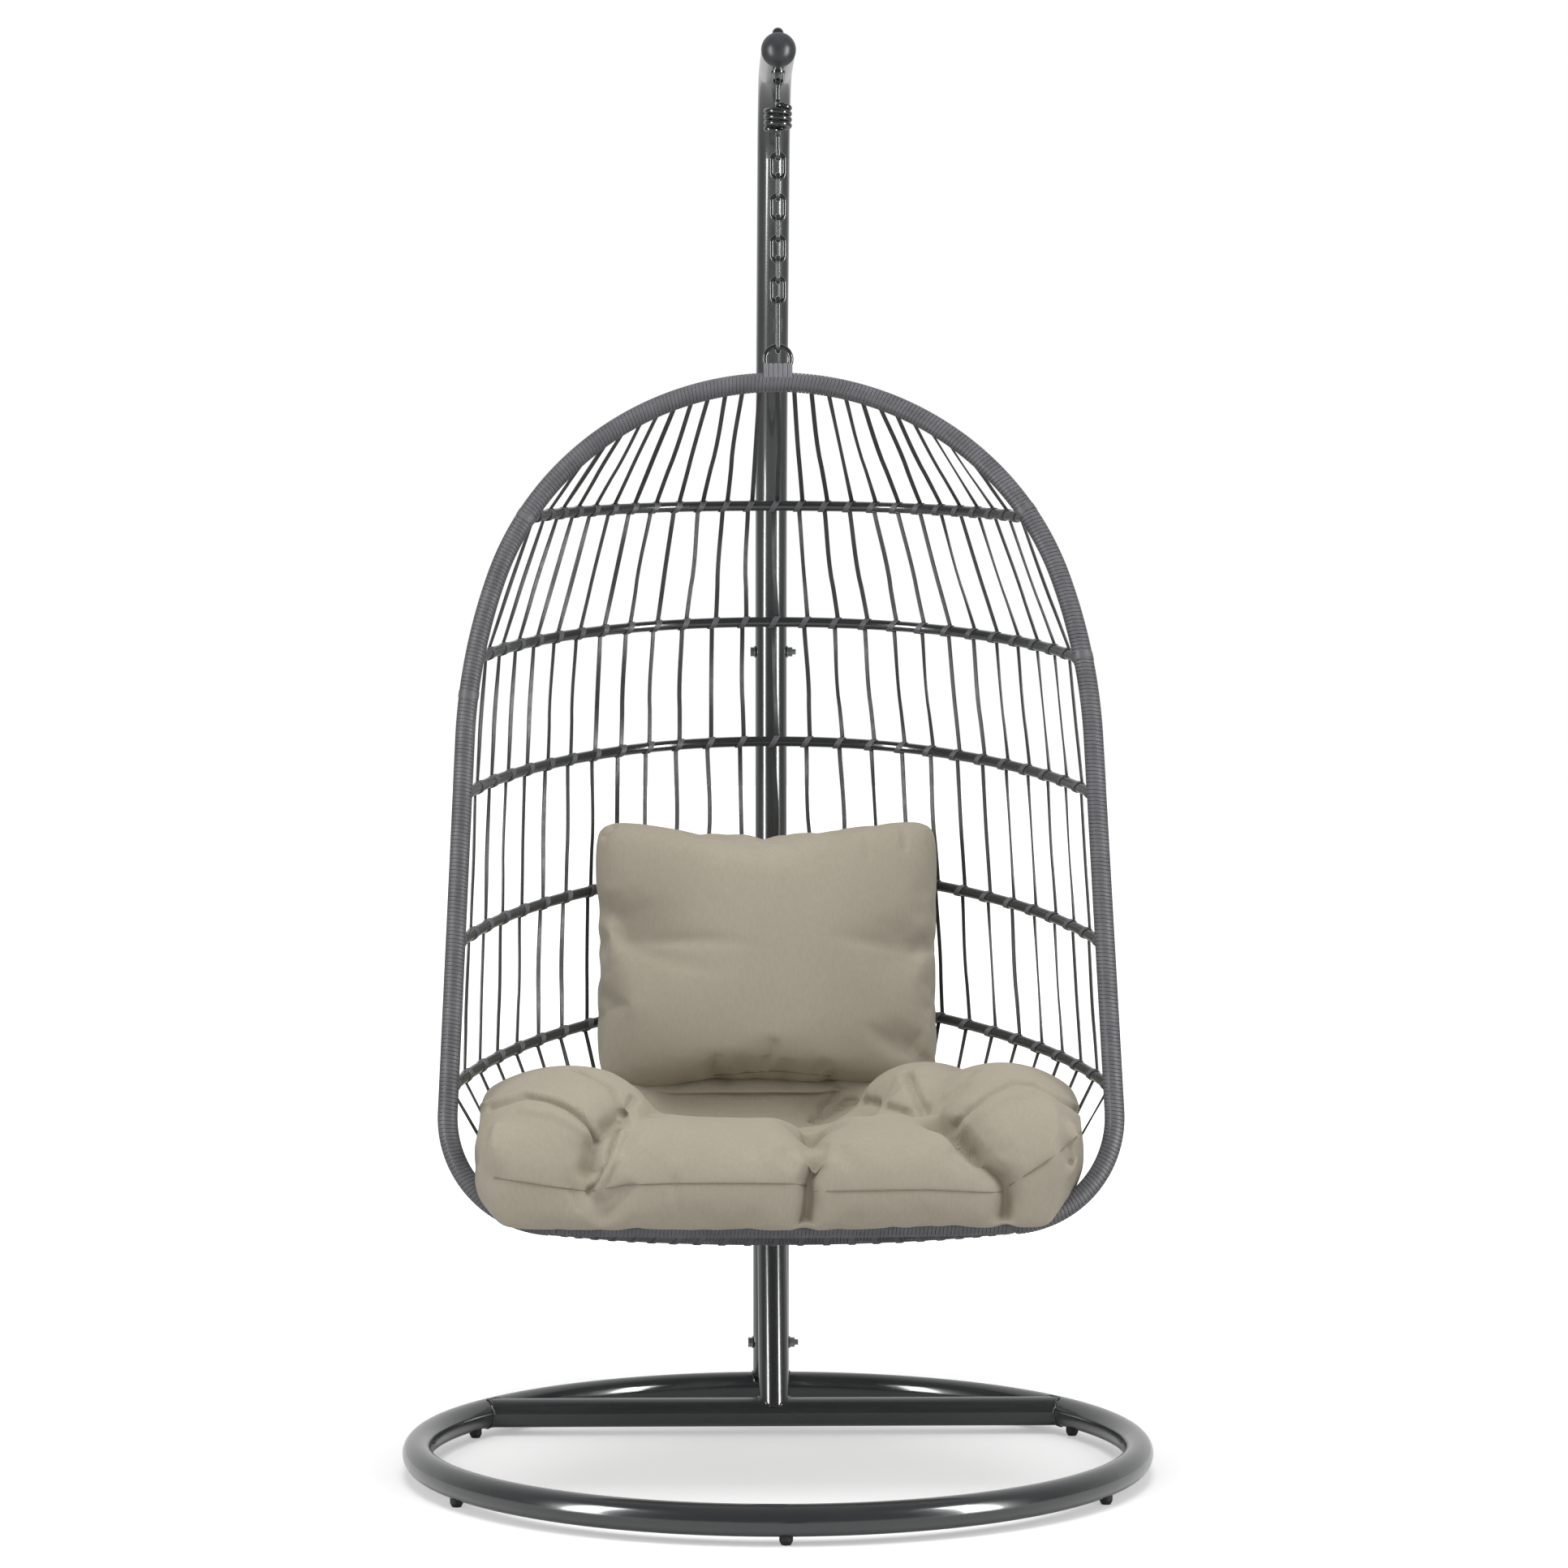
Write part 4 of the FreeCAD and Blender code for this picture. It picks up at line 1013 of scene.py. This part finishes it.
def back_pillow():
    deselect()
    bpy.ops.mesh.primitive_cube_add(size=2)
    piece = named("back_pillow_cover")
    select_in_edit(piece, "EDGE", lambda edge: True)
    bpy.ops.mesh.subdivide(number_cuts=24)
    object_mode()
    points, _ = places(piece)
    u, v, w = points.T.copy()
    full = ((1 - u ** 4) * (1 - w ** 4)) ** 0.45
    corner = (np.abs(u) * np.abs(w)) ** 8
    points[:, 0] = u * pillow_half[0] * (1 - 0.02 * (1 - w ** 2) - 0.05 * corner)
    points[:, 1] = v * (pillow_edge + (pillow_half[1] - pillow_edge) * full)
    points[:, 2] = w * pillow_half[2] * (1 - 0.045 * (1 - u ** 2) - 0.07 * corner)
    place_at(piece, points)
    modifier(piece, "BEVEL", width=0.012, segments=3)
    modifier(piece, "REMESH", mode="VOXEL", voxel_size=cloth_voxel)
    piece.data.transform(Matrix.Translation(pillow_middle) @ Matrix.Rotation(-pillow_lean, 4, "X"))
    piece.data.update()
    points, outward = places(piece)
    away = np.linalg.norm(points[:, [0, 2]] - np.array([pillow_middle.x, pillow_middle.z]), axis=1)
    held = ((away < 0.03) & (outward[:, 1] > 0)).astype(float)
    for line, depth, width in pillow_pinches:
        near = press(piece, seen(piece, line, pillow_plane), depth, width)
        held = np.maximum(held, (near > 0.8).astype(float))
    swell(piece, held, 4.0, 0.03, 0.030, 24)
    keep_inside(piece)
    modifier(piece, "SMOOTH", factor=0.5, iterations=3)
    modifier(piece, "SUBSURF", levels=1, render_levels=1)
    for line, depth, width in pillow_folds:
        press(piece, seen(piece, line, pillow_plane), depth, width)
    on_chair(piece, "back_pillow", "cushion_cloth", cloth, "back_pillow")
    return piece


pillow_cover = back_pillow()
seam(pillow_cover, "back_pillow_zip", pillow_zip, pillow_plane, "back_pillow")


# Studio: floor, light and camera
def studio():
    """A pale floor that turns into plain white away from the chair, and a white room. Glossy surfaces see the
    white behind the chair and a dimmer room in front of it."""
    deselect()
    bpy.ops.mesh.primitive_plane_add(size=60, location=(0, 0, 0))
    floor = named("floor")
    material = bpy.data.materials.new("Pale studio floor")
    material.use_nodes = True
    tree = material.node_tree
    tree.nodes.clear()
    rays = node(tree, "ShaderNodeLightPath").outputs
    place = node(tree, "ShaderNodeTexCoord").outputs["Object"]
    far = node(tree, "ShaderNodeVectorMath", {0: place}, operation="LENGTH").outputs["Value"]
    glow = node(tree, "ShaderNodeMapRange",
                {"Value": far, "From Min": 0.9, "From Max": 2.6, "To Min": floor_glow})
    glow = glow.outputs["Result"]
    lit = node(tree, "ShaderNodeBsdfDiffuse", {"Color": linear("#e6e6e6")})
    light = node(tree, "ShaderNodeEmission", {"Color": (1, 1, 1, 1), "Strength": glow})
    both = node(tree, "ShaderNodeAddShader", {0: lit.outputs[0], 1: light.outputs[0]})
    mixed = node(tree, "ShaderNodeMixShader",
                 {0: rays["Is Camera Ray"], 1: lit.outputs[0], 2: both.outputs[0]})
    node(tree, "ShaderNodeOutputMaterial", {"Surface": mixed.outputs[0]})
    floor.data.materials.append(material)

    world = bpy.data.worlds.new("Studio")
    bpy.context.scene.world = world
    world.use_nodes = True
    tree = world.node_tree
    tree.nodes.clear()
    rays = node(tree, "ShaderNodeLightPath").outputs
    way = node(tree, "ShaderNodeTexCoord").outputs["Generated"]
    towards = node(tree, "ShaderNodeSeparateXYZ", {"Vector": way}).outputs["Y"]
    room = node(tree, "ShaderNodeMapRange", {"Value": towards, "From Min": -0.1, "From Max": 0.6,
                                             "To Min": room_front, "To Max": room_back}).outputs["Result"]
    clear = node(tree, "ShaderNodeMath", {0: rays["Is Camera Ray"], 1: rays["Is Transmission Ray"]},
                 operation="MAXIMUM").outputs[0]
    glossy = node(tree, "ShaderNodeMix", {"Factor": rays["Is Glossy Ray"], "A": room_light, "B": room})
    strength = node(tree, "ShaderNodeMix", {"Factor": clear, "A": glossy.outputs["Result"], "B": 1.0})
    white = node(tree, "ShaderNodeBackground",
                 {"Color": (1, 1, 1, 1), "Strength": strength.outputs["Result"]})
    node(tree, "ShaderNodeOutputWorld", {"Surface": white.outputs[0]})


def soft_box(name, place, aim, size, watts, glossy):
    """A soft box that lights the cloth, or one that only glossy surfaces show."""
    deselect()
    bpy.ops.object.light_add(type="AREA", location=place)
    lamp = bpy.context.object
    lamp.name = name
    lamp.data.shape = "RECTANGLE"
    lamp.data.size, lamp.data.size_y = size
    lamp.data.energy = watts
    lamp.visible_glossy = glossy
    lamp.visible_diffuse = not glossy
    lamp.rotation_euler = (Vector(aim) - Vector(place)).to_track_quat("-Z", "Y").to_euler()


def camera():
    data = bpy.data.cameras.new("camera")
    made = bpy.data.objects.new("camera", data)
    bpy.context.collection.objects.link(made)
    data.sensor_width = 36
    data.lens = camera_lens
    data.shift_x = (image_px / 2 - ring_centre_px) / image_px
    data.clip_end = 100
    made.location = eye
    made.rotation_euler = (math.pi / 2 - camera_pitch, 0, camera_azimuth)
    bpy.context.scene.camera = made


studio()
soft_box("left_soft_box", (-2.6, -2.0, 1.8), (0, 0, 0.9), (0.9, 2.6), 24, False)
soft_box("right_soft_box", (2.6, -1.6, 1.8), (0, 0, 0.9), (0.9, 2.6), 22, False)
soft_box("top_soft_box", (0, -1.0, 4.0), (0, 0, 0.6), (2.4, 2.4), 95, False)
soft_box("left_glint", (-2.6, -1.7, 1.1), (0, 0, 1.0), (0.7, 3.0), 120, True)
soft_box("right_glint", (2.6, -1.7, 1.1), (0, 0, 1.0), (0.7, 3.0), 150, True)
camera()
bpy.context.scene.view_settings.view_transform = "Standard"
